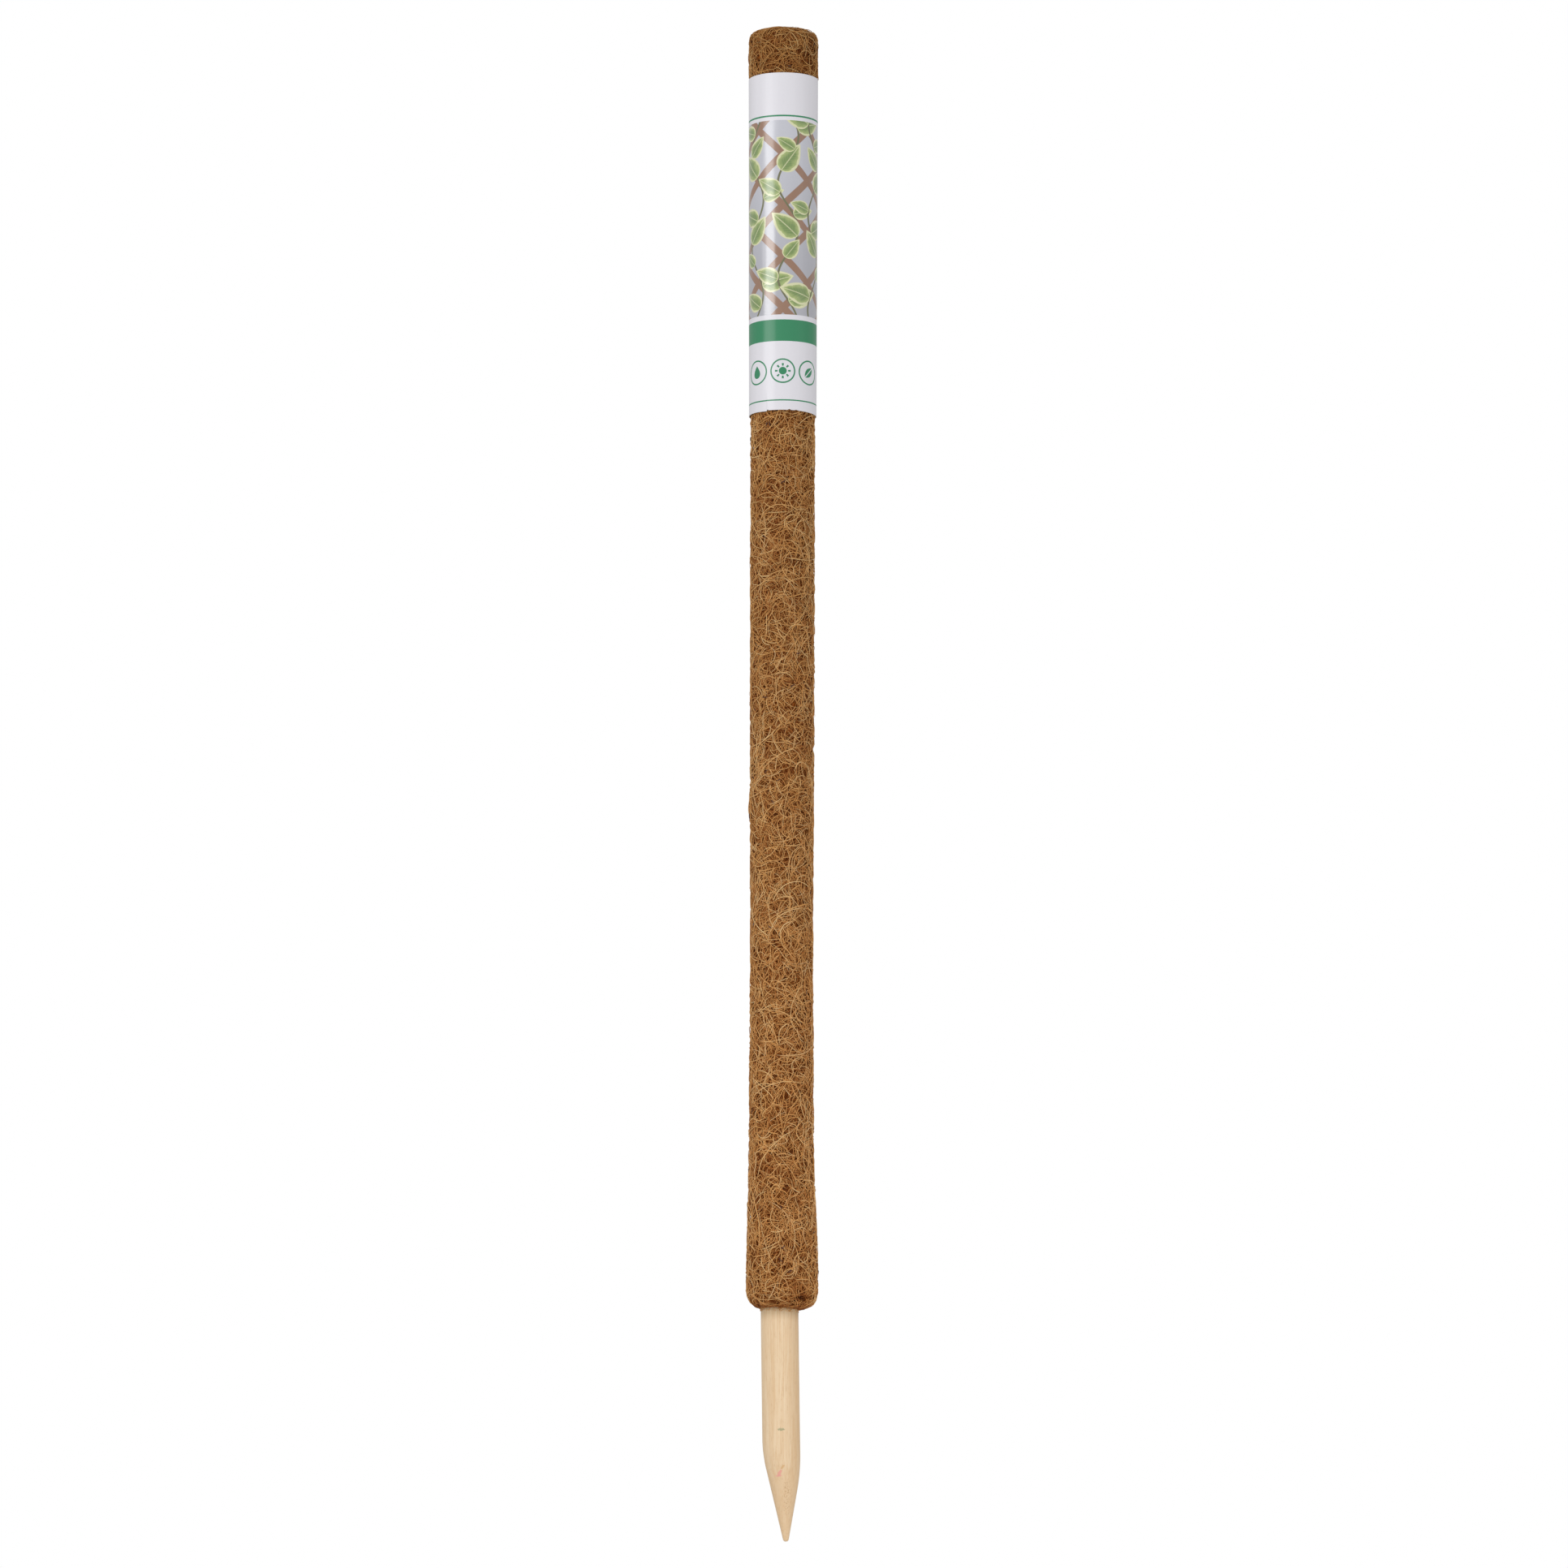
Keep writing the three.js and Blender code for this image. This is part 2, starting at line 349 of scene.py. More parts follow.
@dataclass(frozen=True)
class WoodFinish(Finish):
    """Bare turned wood with a fine straight grain, short pores, a few small stains, and dust with painted
    shadow just under the mat's lip.
    """

    pale: Colour = srgb(254, 226, 188)
    deep: Colour = srgb(243, 207, 163)
    fleck: Colour = srgb(226, 184, 132)
    dark_fleck: Colour = srgb(204, 158, 106)
    bands: Grain = Grain(240, 0.05, 3, 0.8)
    lines: Grain = Grain(1500, 0.03, 2)
    pores: Grain = Grain(2300, 0.14, 2)
    dashes: Grain = Grain(1500, 0.09, 1)
    pits: Grain = Grain(2100, 0.45, 2)
    tone_edge: Pair = (0.36, 0.66)
    pore_edge: Pair = (0.58, 0.7)
    dash_edge: Pair = (0.66, 0.75)
    pit_edge: Pair = (0.55, 0.66)
    streak: Pair = (5 * MM, 7 * MM)
    streak_stray: float = 4 * MM
    point_fade: Pair = (88 * MM, 104 * MM)
    # Dust and painted shadow: a grey that darkens the wood just under the mat's lip.
    dust: Colour = srgb(218, 216, 208)
    dust_reach: Pair = (1 * MM, 9 * MM)
    torn_centre: Pair = (3.9 * MM, -110.6 * MM)
    torn_reach: Pair = (3.2 * MM, 13 * MM)
    torn_edge: Pair = (0.1, 1.0)
    blotch_scale: float = 1100
    relief: Pair = (0.1 * MM, 0.5)
    stains: tuple[Stain, ...] = (
        Stain(srgb(176, 174, 134), (0.3 * MM, -71.4 * MM), (2.5 * MM, 0.95 * MM), 0.0, 0.8),
        Stain(srgb(252, 176, 160), (-0.6 * MM, -96.6 * MM), (1.1 * MM, 2.6 * MM), -0.55, 0.85),
        Stain(srgb(252, 178, 164), (-1.0 * MM, -98.1 * MM), (2.4 * MM, 0.7 * MM), 0.1, 0.8),
        Stain(srgb(232, 186, 128), (1.2 * MM, -93.1 * MM), (0.8 * MM, 1.8 * MM), -0.75, 0.7),
    )

    def surface(self, sheet: Sheet) -> dict[str, Value]:
        """Grain lines, pores and stains over two wood colours.

        Args:
            sheet: The material's sheet.

        Returns:
            What goes on the surface's sockets.
        """
        place = self.place(sheet)
        x, y, z = sheet.parts(place)
        front = y < 0
        bands = self.bands.drawn(sheet, place)
        lines = self.lines.drawn(sheet, place)
        pore = sheet.rise(self.pores.drawn(sheet, place), *self.pore_edge)
        dash = sheet.rise(self.dashes.drawn(sheet, place), *self.dash_edge)
        tone = sheet.rise(bands * 0.45 + lines * 0.55, *self.tone_edge)
        wood = sheet.mix(self.pale, self.deep, tone)
        wood = sheet.mix(wood, self.fleck, pore * (0.14 + tone * 0.34))
        wood = sheet.mix(wood, self.dark_fleck, dash * 0.26)
        streak = sheet.rise(x + (bands - 0.5) * self.streak_stray, *self.streak)
        wood = sheet.mix(wood, self.fleck, streak * 0.22)
        wood = sheet.mix(wood, self.deep, sheet.rise(0 - z, *self.point_fade) * 0.5)
        # Dust and painted shadow: the wood just under the mat's lip is darkened.
        wood = sheet.mix(wood, self.dust, 1 - sheet.rise(0 - z, *self.dust_reach), "MULTIPLY")
        off_x = (x - self.torn_centre[0]) / self.torn_reach[0]
        off_z = (z - self.torn_centre[1]) / self.torn_reach[1]
        torn = (1 - sheet.rise(off_x * off_x + off_z * off_z, *self.torn_edge)) * front
        pit = sheet.rise(self.pits.drawn(sheet, place), *self.pit_edge) * torn
        wood = sheet.mix(wood, self.dark_fleck, pit * 0.75)
        blotch = sheet.noise(place, self.blotch_scale, 3)
        for stain in self.stains:
            wood = stain.over(sheet, wood, x, z, blotch, front)
        return {
            "Base Color": wood,
            "Roughness": 0.5 + tone * 0.16,
            "Normal": sheet.bump(lines * 0.5 - pore - pit, *self.relief),
            "Specular IOR Level": 0.3,
        }


@dataclass(frozen=True)
class FeltFinish(Finish):
    """The depth of the fibre mat, seen between its fibres: strokes that cross over dark gaps; the gaps are
    painted shade, and the strokes' browns are kept dark as painted shade of the depth.
    """

    # Painted shade: the near black between the strokes stands in for shade deep in the mat.
    gap: Colour = srgb(62, 24, 4)
    dark: Colour = srgb(128, 60, 16)
    light: Colour = srgb(180, 106, 42)
    turns: tuple[Point, ...] = ((0.0, 0.35, 0.5), (1.1, 1.35, 0.2), (-0.9, 2.3, 0.9), (0.5, -0.6, 0.0))
    along: float = 0.12
    stroke_scale: Pair = (1150, 90)
    stroke_edge: Pair = (0.84, 0.95)
    tone_scale: Pair = (500, 60)
    tone_edge: Pair = (0.4, 0.6)
    relief: Pair = (0.35 * MM, 0.8)

    def surface(self, sheet: Sheet) -> dict[str, Value]:
        """Fine strokes in several directions, each with its own brown and scale.

        Args:
            sheet: The material's sheet.

        Returns:
            What goes on the surface's sockets.
        """
        place = self.place(sheet)
        colour: Value = self.gap
        cover: Value = 0.0
        for number, turn in enumerate(self.turns):
            flow = sheet.stretched(sheet.stretched(place, (1, 1, 1), turn), (1, 1, self.along))
            fine, coarse = (first + step * number for first, step in (self.stroke_scale, self.tone_scale))
            ridge = 1 - abs(sheet.noise(flow, fine, 1, 0.6) * 2 - 1)
            stroke = sheet.rise(ridge, *self.stroke_edge)
            tone = sheet.rise(sheet.noise(flow, coarse, 0), *self.tone_edge)
            colour = sheet.mix(colour, sheet.mix(self.dark, self.light, tone), stroke)
            cover = sheet.math("MAXIMUM", stroke, cover)
        return {
            "Base Color": colour,
            "Normal": sheet.bump(cover, *self.relief),
            "Specular IOR Level": 0.15,
        }


@dataclass(frozen=True)
class FibreFinish(Finish):
    """Coconut fibre: each one has its own brown, darkened by the painted shade in its stored tint, and a
    painted shade darkens those higher up the mat.
    """

    stops: tuple[tuple[float, Colour], ...] = (
        (0.0, srgb(104, 70, 60)),
        (0.03, srgb(100, 50, 16)),
        (0.12, srgb(166, 92, 30)),
        (0.4, srgb(232, 169, 96)),
        (0.7, srgb(247, 207, 147)),
        (1.0, srgb(254, 236, 202)),
    )
    # Painted shade: the fibres are darkened by height, more towards the top of the mat and most on its crown.
    body_shade: Colour = srgb(238, 238, 236)
    body_rise: Pair = (0.05, 0.5)
    painted_crown_shade: Colour = srgb(229, 224, 212)
    head_rise: Pair = (0.55, 0.735)

    def surface(self, sheet: Sheet) -> dict[str, Value]:
        """A brown by the fibre's tint, which carries painted shade, with painted shade by its height.

        Args:
            sheet: The material's sheet.

        Returns:
            What goes on the surface's sockets.
        """
        tint = sheet.add("ShaderNodeAttribute", {"attribute_name": TINT}, out="Fac")
        brown = sheet.ramp(tint, self.stops)
        height = sheet.parts(self.place(sheet))[2]
        # Painted shade by height, standing in for light that falls off up the mat.
        brown = sheet.mix(brown, self.body_shade, sheet.rise(height, *self.body_rise), "MULTIPLY")
        brown = sheet.mix(brown, self.painted_crown_shade, sheet.rise(height, *self.head_rise), "MULTIPLY")
        return {"Base Color": brown, "Specular IOR Level": 0.3}


@dataclass(frozen=True)
class WireFinish(Finish):
    """Galvanised staple wire, a little dull and spotted."""

    bright: Colour = srgb(190, 192, 195)
    dull: Colour = srgb(140, 142, 146)
    spot_scale: float = 1400
    spot_edge: Pair = (0.4, 0.62)

    def surface(self, sheet: Sheet) -> dict[str, Value]:
        """Zinc spots in colour and in gloss."""
        spots = sheet.rise(sheet.noise(self.place(sheet), self.spot_scale, 3), *self.spot_edge)
        return {
            "Base Color": sheet.mix(self.bright, self.dull, spots),
            "Metallic": 1.0,
            "Roughness": 0.3 + spots * 0.2,
        }


@dataclass(frozen=True, kw_only=True)
class MottledFinish(Finish):
    """Bare card or tape: two near colours in a fine mottle, which roughens the surface a little."""

    pale: Colour
    deep: Colour
    scale: float
    edge: Pair
    relief: Pair

    def surface(self, sheet: Sheet) -> dict[str, Value]:
        """A faint mottle."""
        mottle = sheet.noise(self.place(sheet), self.scale, 4)
        return {
            "Base Color": sheet.mix(self.pale, self.deep, sheet.rise(mottle, *self.edge)),
            "Normal": sheet.bump(mottle, *self.relief),
        }


@dataclass(frozen=True)
class Stem:
    """A stem on the print: where its middle is, how far it sways and to which side its leaves lean first."""

    middle: float
    sway: float
    lean: int


@dataclass(frozen=True)
class PrintFinish(Finish):
    """The sleeve's printed face: a plain garden pattern of leaves on a lattice, with no words.

    Lengths on the print are in millimetres, across from the front's middle and up from the lower edge.
    """

    white: Colour = srgb(236, 234, 240)
    green: Colour = srgb(62, 142, 102)
    ground_low: Colour = srgb(182, 182, 190)
    ground_high: Colour = srgb(204, 205, 214)
    lattice: Colour = srgb(156, 118, 94)
    stem_brown: Colour = srgb(112, 112, 76)
    leaf_deep: Colour = srgb(122, 148, 84)
    leaf_light: Colour = srgb(176, 192, 122)
    cream: Colour = srgb(228, 228, 182)
    map_length: float = 0.25
    panel: Pair = (58.0, 176.0)
    rules: tuple[Pair, ...] = ((6.0, 6.8), (42.0, 55.0), (178.2, 179.2))
    lattice_pitch: float = 22.0
    slat_edge: Pair = (1.9, 2.3)
    stems: tuple[Stem, ...] = (Stem(-17.0, 5.0, 1), Stem(3.0, 6.0, -1), Stem(21.0, 5.0, 1))
    stem_edge: Pair = (0.5, 0.8)
    stem_wave: float = 0.11
    stem_phase: float = 2.1
    leaf_rows: int = 9
    leaf_start: float = 5.0
    leaf_pitch: float = 13.2
    leaf_stagger: float = 3.1
    leaf_size: Pair = (17.0, 4.0)
    leaf_turn: Pair = (0.95, 0.35)
    size_pace: float = 2.3
    turn_pace: float = 1.7
    turn_stagger: float = 0.8
    ragged_scale: float = 60
    sign_pitch: float = 17.0
    sign_height: float = 24.0
    plain_coat: float = 0.12

    def surface(self, sheet: Sheet) -> dict[str, Value]:
        """The whole print under a gloss coat.

        Args:
            sheet: The material's sheet.

        Returns:
            What goes on the surface's sockets.
        """
        spot = sheet.add("ShaderNodeUVMap", {"uv_map": PRINT_MAP})
        u, v, _ = sheet.parts(spot)
        to_mm = self.map_length / MM
        x = (u - 0.5) * to_mm
        y = v * to_mm
        ragged = sheet.noise(spot, self.ragged_scale, 3) - 0.5
        inside = (y > self.panel[0]) * (y < self.panel[1])
        colour = sheet.mix(self.white, self._panel(sheet, x, y, ragged), inside)
        for low, high in self.rules:
            colour = sheet.mix(colour, self.green, (y > low) * (y < high))
        for place, sign in enumerate(Sign):
            mask = sign.mask(sheet, x - (place - 1) * self.sign_pitch, y - self.sign_height)
            colour = sheet.mix(colour, self.green, mask)
        return {
            "Base Color": colour,
            "Coat Weight": self.plain_coat + inside * (1 - self.plain_coat),
            "Coat Roughness": 0.26,
            "Coat IOR": 1.75,
            "Specular IOR Level": 0.25,
        }

    def _panel(self, sheet: Sheet, x: Wire, y: Wire, ragged: Wire) -> Wire:
        """The leafy panel.

        Args:
            sheet: The material's sheet.
            x: Across.
            y: Up.
            ragged: Noise that roughens the leaves' cream margins.

        Returns:
            The panel's colour, which runs on past the panel's ends.
        """
        low, high = self.panel
        half = self.lattice_pitch / 2
        colour = sheet.mix(self.ground_low, self.ground_high, sheet.rise(y, low, high))
        for way in (1, -1):
            slanted = sheet.math("WRAP", (x * way + y) * DIAGONAL, half, -half)
            colour = sheet.mix(colour, self.lattice, 1 - sheet.rise(abs(slanted), *self.slat_edge))
        leaf = leaf_group()
        for column, stem in enumerate(self.stems):
            phase = column * self.stem_phase
            stem_x = sheet.math("SINE", y * self.stem_wave + phase) * stem.sway + stem.middle
            colour = sheet.mix(colour, self.stem_brown, 1 - sheet.rise(abs(x - stem_x), *self.stem_edge))
            for step in range(self.leaf_rows):
                up = low + self.leaf_start + step * self.leaf_pitch + column * self.leaf_stagger
                across = stem.middle + stem.sway * math.sin(up * self.stem_wave + phase)
                swell = math.sin(step * self.size_pace + column)
                size = self.leaf_size[0] + self.leaf_size[1] * swell
                side = stem.lean if step % 2 else -stem.lean
                droop = math.sin(step * self.turn_pace + column * self.turn_stagger)
                turn = side * (self.leaf_turn[0] + self.leaf_turn[1] * droop)
                sockets = {"X": x - across, "Y": y - up, "Turn": turn, "Length": size, "Ragged": ragged}
                mask = sheet.add("ShaderNodeGroup", {"node_tree": leaf}, sockets, "Mask")
                tone = sheet.mix(self.leaf_light, self.leaf_deep, mask.also("Heart"))
                tone = sheet.mix(tone, self.cream, mask.also("Margin"))
                colour = sheet.mix(colour, tone, mask)
        return colour


class Sign(Enum):
    """A plain pictured hint in a ring on the sleeve's foot, from left to right."""

    DROP = "drop"
    SUN = "sun"
    LEAF = "leaf"

    def mask(self, sheet: Sheet, x: Wire, y: Wire) -> Wire:
        """Where the sign is inked.

        Args:
            sheet: The material's sheet.
            x: Across from its middle, in millimetres.
            y: Up from its middle.

        Returns:
            1 on ink, else 0.
        """
        ring_radius, ring_half = 7.0, 0.45
        far = sheet.math("SQRT", x * x + y * y)
        ring = abs(far - ring_radius) < ring_half
        if self is Sign.DROP:
            foot, height, width = 3.6, 7.6, 6.6
            rise = (y + foot) / height
            root = sheet.math("SQRT", sheet.math("MAXIMUM", rise, 0))
            inner = abs(x) < root * sheet.math("MAXIMUM", 1 - rise, 0) * width
        elif self is Sign.SUN:
            disc, ray_count, ray_edge, ray_start, ray_end = 2.3, 8, 0.45, 3.0, 4.6
            rays = sheet.math("COSINE", sheet.math("ARCTAN2", x, y) * ray_count) > ray_edge
            inner = sheet.math("MAXIMUM", far < disc, rays * (far > ray_start) * (far < ray_end))
        else:
            half_length, width, rib = 4.4, 9.6, 0.3
            across = abs((x - y) * DIAGONAL)
            rise = ((x + y) * DIAGONAL + half_length) / (2 * half_length)
            half = sheet.math("MAXIMUM", rise * (1 - rise), 0) * width
            inner = (across < half) * (across > rib)
        return sheet.math("MAXIMUM", ring, inner)


def leaf_group() -> bpy.types.NodeTree:
    """Draws one printed leaf as a node group, with its shape in shares of its length.

    Returns:
        The group: its masks are the leaf, its cream margin and its darker heart.
    """
    width, blade_edge, rib_edge = 0.84, (0.0, 0.02), (0.008, 0.02)
    margin_rag, margin_edge = 0.16, (0.06, 0.085)
    heart_rag, heart_edge = 0.3, (0.05, 0.24)
    vein_slant, vein_pace, vein_width, vein_shade = 0.9, 34, 0.16, 0.5
    rib_cream = 0.7
    inputs = ("X", "Y", "Turn", "Length", "Ragged")
    group = bpy.data.node_groups.new("printed leaf", "ShaderNodeTree")
    for name in inputs:
        group.interface.new_socket(name, in_out="INPUT", socket_type="NodeSocketFloat")
    for name in ("Mask", "Margin", "Heart"):
        group.interface.new_socket(name, in_out="OUTPUT", socket_type="NodeSocketFloat")
    sheet = Sheet(group)
    given = sheet.add("NodeGroupInput")
    x, y, turn, length, ragged = (given.also(name) for name in inputs)
    sine = sheet.math("SINE", turn)
    cosine = sheet.math("COSINE", turn)
    along = (x * sine + y * cosine) / length
    across = abs(x * cosine - y * sine) / length
    root = sheet.math("SQRT", sheet.math("MAXIMUM", along, 0))
    depth = root * sheet.math("MAXIMUM", 1 - along, 0) * width - across
    mask = sheet.rise(depth, *blade_edge)
    margin = 1 - sheet.rise(depth + ragged * margin_rag, *margin_edge)
    rib = 1 - sheet.rise(across, *rib_edge)
    veins = abs(sheet.math("SINE", (along - across * vein_slant) * vein_pace)) < vein_width
    heart = sheet.rise(depth + ragged * heart_rag, *heart_edge) * (1 - veins * vein_shade)
    pale = sheet.math("MAXIMUM", margin, rib * rib_cream)
    sheet.add("NodeGroupOutput", None, {"Mask": mask, "Margin": pale, "Heart": heart})
    return group


@dataclass(frozen=True)
class FloorFinish(Finish):
    """A pale studio floor with a trace of mottle."""

    pale: Colour = srgb(244, 244, 244)
    deep: Colour = srgb(238, 238, 238)

    def surface(self, sheet: Sheet) -> dict[str, Value]:
        """Two near whites."""
        return {
            "Base Color": sheet.mix(self.pale, self.deep, sheet.noise(self.place(sheet), 3, 2)),
            "Specular IOR Level": 0.2,
        }


class SocketKind(Enum):
    """What a shape tree's input takes."""

    LENGTH = "NodeSocketFloat"
    COUNT = "NodeSocketInt"
    FINISH = "NodeSocketMaterial"


def input_title(name: str) -> str:
    """A field's name, written as the input of a tree is."""
    return name.replace("_", " ").title()


def inputs_of(*plans: type) -> dict[str, SocketKind]:
    """The inputs that a tree needs for the numbers in some plans.

    Args:
        plans: Dataclasses whose numbers are inputs.

    Returns:
        What each input takes, by its title.
    """
    kinds = {int: SocketKind.COUNT, float: SocketKind.LENGTH}
    parts = [part for plan in plans for part in fields(plan) if part.type in kinds]
    return {input_title(part.name): kinds[part.type] for part in parts}


def titled(plan: Any) -> dict[str, Any]:
    """A plan's values, by the titles of the inputs that take them."""
    return {input_title(part.name): getattr(plan, part.name) for part in fields(plan)}


def shape_tree(name: str, inputs: dict[str, SocketKind]) -> tuple[Sheet, dict[str, Wire]]:
    """Starts a Geometry Nodes tree with named inputs.

    Args:
        name: The tree's name.
        inputs: What each input takes, by its name.

    Returns:
        The sheet to draw on and a wire from each input, the carrier's own mesh among them as Geometry.
    """
    tree = bpy.data.node_groups.new(name, "GeometryNodeTree")
    tree.interface.new_socket("Geometry", in_out="INPUT", socket_type="NodeSocketGeometry")
    tree.interface.new_socket("Geometry", in_out="OUTPUT", socket_type="NodeSocketGeometry")
    for title, kind in inputs.items():
        tree.interface.new_socket(title, in_out="INPUT", socket_type=kind.value)
    sheet = Sheet(tree)
    given = sheet.add("NodeGroupInput")
    return sheet, {title: given.also(title) for title in ("Geometry", *inputs)}


def close_tree(sheet: Sheet, shape: Wire, finish: Wire) -> None:
    """Ends a shape tree: instances made real, shaded smooth and dressed.

    Args:
        sheet: The tree's sheet.
        shape: The shape so far.
        finish: The wire that brings the material.
    """
    real = sheet.add("GeometryNodeRealizeInstances", None, {"Geometry": shape})
    smooth = sheet.add("GeometryNodeSetShadeSmooth", None, {"Geometry": real})
    dressed = sheet.add("GeometryNodeSetMaterial", None, {"Geometry": smooth, "Material": finish})
    sheet.add("NodeGroupOutput", None, {"Geometry": dressed})


def new_object(name: str, data: Any) -> bpy.types.Object:
    """Puts an object at the origin of the scene.

    Args:
        name: The object's name.
        data: Its mesh, light or camera.

    Returns:
        The object.
    """
    made = bpy.data.objects.new(name, data)
    bpy.context.scene.collection.objects.link(made)
    return made


def grown(
    name: str, path: Sequence[Point], tree: bpy.types.NodeTree, values: dict[str, Any]
) -> bpy.types.Object:
    """Runs a shape tree on a path and keeps the result as a plain mesh.

    Args:
        name: The new piece's name.
        path: The points of the line that the tree starts from.
        tree: The shape tree.
        values: A value for each of the tree's inputs, by its name.

    Returns:
        The piece, with no modifier left on it.
    """
    line = bpy.data.meshes.new(name + "_path")
    line.from_pydata(path, [(i, i + 1) for i in range(len(path) - 1)], [])
    piece = new_object(name, line)
    modifier = piece.modifiers.new("shape", "NODES")
    modifier.node_group = tree
    for item in tree.interface.items_tree:
        if item.in_out == "INPUT" and item.name in values:
            modifier[item.identifier] = values[item.name]
    graph = bpy.context.evaluated_depsgraph_get()
    made = piece.evaluated_get(graph)
    mesh = bpy.data.meshes.new_from_object(made, preserve_all_data_layers=True, depsgraph=graph)
    piece.modifiers.remove(modifier)
    piece.data = mesh
    mesh.name = name
    return piece


def mesh_piece(
    name: str,
    points: Sequence[Point],
    faces: Sequence[Sequence[int]],
    finishes: Sequence[bpy.types.Material],
    slots: Sequence[int] | None = None,
    sharp_from: float | None = None,
) -> bpy.types.Object:
    """Makes a smooth-shaded mesh piece at the origin.

    Args:
        name: The piece's name.
        points: Its vertices.
        faces: Its faces, by vertex.
        finishes: Its materials.
        slots: The material of each face, or None where all take the first.
        sharp_from: The angle in degrees from which an edge is crisp, or None where none is.

    Returns:
        The new object.
    """
    mesh = bpy.data.meshes.new(name)
    mesh.from_pydata(points, [], faces)
    for finish in finishes:
        mesh.materials.append(finish)
    mesh.polygons.foreach_set("use_smooth", [True] * len(mesh.polygons))
    if slots is not None:
        mesh.polygons.foreach_set("material_index", slots)
    mesh.update()
    if sharp_from is not None:
        mesh.set_sharp_from_angle(angle=math.radians(sharp_from))
    return new_object(name, mesh)


def around(radius: float, angle: float, height: float) -> Point:
    """A point round the axis, by its angle from the front towards +X."""
    return (radius * math.sin(angle), -radius * math.cos(angle), height)


def ring_faces(rows: int, columns: int, closed: bool = True) -> list[tuple[int, ...]]:
    """The quads between rows of vertices, given from the lowest row up.

    Args:
        rows: How many rows.
        columns: How many vertices each has.
        closed: Whether each row is a ring, whose last vertex is joined to its first.

    Returns:
        The quads, facing outwards where the angle grows from the front towards +X.
    """
    faces = []
    for row in range(rows - 1):
        low, high = row * columns, (row + 1) * columns
        for column in range(columns if closed else columns - 1):
            after = (column + 1) % columns
            faces.append((low + column, low + after, high + after, high + column))
    return faces


def chart(piece: bpy.types.Object, name: str, spots: Sequence[float]) -> None:
    """Gives a piece a flat map.

    Args:
        piece: The piece.
        name: The map's name.
        spots: Two numbers for each corner of each face.
    """
    piece.data.uv_layers.new(name=name).uv.foreach_set("vector", spots)


@dataclass
class Stake:
    """The round wooden bar with its off-centre, slightly leaning point."""

    radius: float
    tip_height: float
    top_height: float
    tip_radius: float = 1.42 * MM
    point_slope: float = 0.2075
    point_offset: float = 3.2 * MM
    point_lean: float = -0.0345
    tip_round: float = 1.5 * MM
    tip_shares: tuple[float, ...] = (0.25, 0.55, 0.8, 0.95)
    shoulder_blend: float = 2.0 * MM
    chamfer: float = 0.8 * MM
    chamfer_round: Pair = (0.3, 0.25)
    bow: float = -0.81 * MM
    lean: float = -0.0148
    straight: Pair = (20 * MM, 200 * MM)
    flat_height: float = -0.05
    columns: int = 96
    point_rows: int = 48
    bar_rows: int = 60
    crisp_from: float = 50

    def build(self) -> bpy.types.Object:
        """Makes the bar, with its cut point running softly into its side.

        Returns:
            The stake.
        """
        angles = [2 * math.pi * column / self.columns for column in range(self.columns)]
        rows = [self._tip_ring(angles, share) for share in self.tip_shares]
        point_base = self.tip_height + self.tip_round
        for step in range(self.point_rows + 1):
            height = point_base + (self.flat_height - point_base) * step / self.point_rows
            rows.append([self._point_side(angle, height) for angle in angles])
        side_top = self.top_height - self.chamfer
        for step in range(1, self.bar_rows + 1):
            height = self.flat_height + (side_top - self.flat_height) * step / self.bar_rows
            rows.append([self._bowed(around(self.radius, angle, height)) for angle in angles])
        rim = self.radius - self.chamfer
        out, down = self.chamfer_round
        softened = (rim + out * self.chamfer, self.top_height - down * self.chamfer)
        for radius, height in (softened, (rim, self.top_height)):
            rows.append([around(radius, angle, height) for angle in angles])
        points = [point for row in rows for point in row]
        faces: list[Sequence[int]] = list(ring_faces(len(rows), self.columns))
        faces.append(tuple(reversed(range(self.columns))))
        last = len(points) - self.columns
        faces.append(tuple(range(last, last + self.columns)))
        finish = WoodFinish("bare_wood", 0.55).material()
        return mesh_piece("wood_stake", points, faces, [finish], sharp_from=self.crisp_from)

    def _cut(self, rise: float) -> Pair:
        """The middle and the radius of the cone that the point is cut to, at a rise above the tip."""
        return self.point_offset + self.point_lean * rise, self.tip_radius + self.point_slope * rise

    def _tip_ring(self, angles: Sequence[float], share: float) -> list[Point]:
        """A ring of the rounded tip.

        Args:
            angles: The angles of its vertices.
            share: Its share of the tip's radius.

        Returns:
            Its vertices.
        """
        middle, radius = self._cut(self.tip_round)
        rise = self.tip_round * (1 - math.sqrt(1 - share * share))
        ring = [around(radius * share, angle, self.tip_height + rise) for angle in angles]
        return [(x + middle, y, z) for x, y, z in ring]

    def _point_side(self, angle: float, height: float) -> Point:
        """A point of the side below the first level ring: the cut and the bar's round, run into each other.

        Args:
            angle: The angle from the front, as seen from inside both.
            height: How high it is.

        Returns:
            The point.
        """
        rise = height - self.tip_height
        cut_middle, cut_radius = self._cut(rise)
        bar_middle = self.middle(height)
        start = cut_middle + (bar_middle - cut_middle) * smoothstep(height, self.tip_height, self.flat_height)
        reaches = []
        for middle, radius in ((cut_middle, cut_radius), (bar_middle, self.radius)):
            off = middle - start
            side = off * math.sin(angle)
            reaches.append(side + math.sqrt(side * side - off * off + radius * radius))
        near = max(self.shoulder_blend - abs(reaches[0] - reaches[1]), 0.0)
        x, y, z = around(min(reaches) - near * near / (4 * self.shoulder_blend), angle, height)
        return (x + start, y, z)

    def middle(self, height: float) -> float:
        """How far the bar's middle is from the axis: it leans below the mat and comes straight inside it."""
        return (self.bow + self.lean * min(height, 0.0)) * (1 - smoothstep(height, *self.straight))

    def _bowed(self, point: Point) -> Point:
        """A point of the straight bar, moved with the bar's middle."""
        x, y, z = point
        return (x + self.middle(z), y, z)


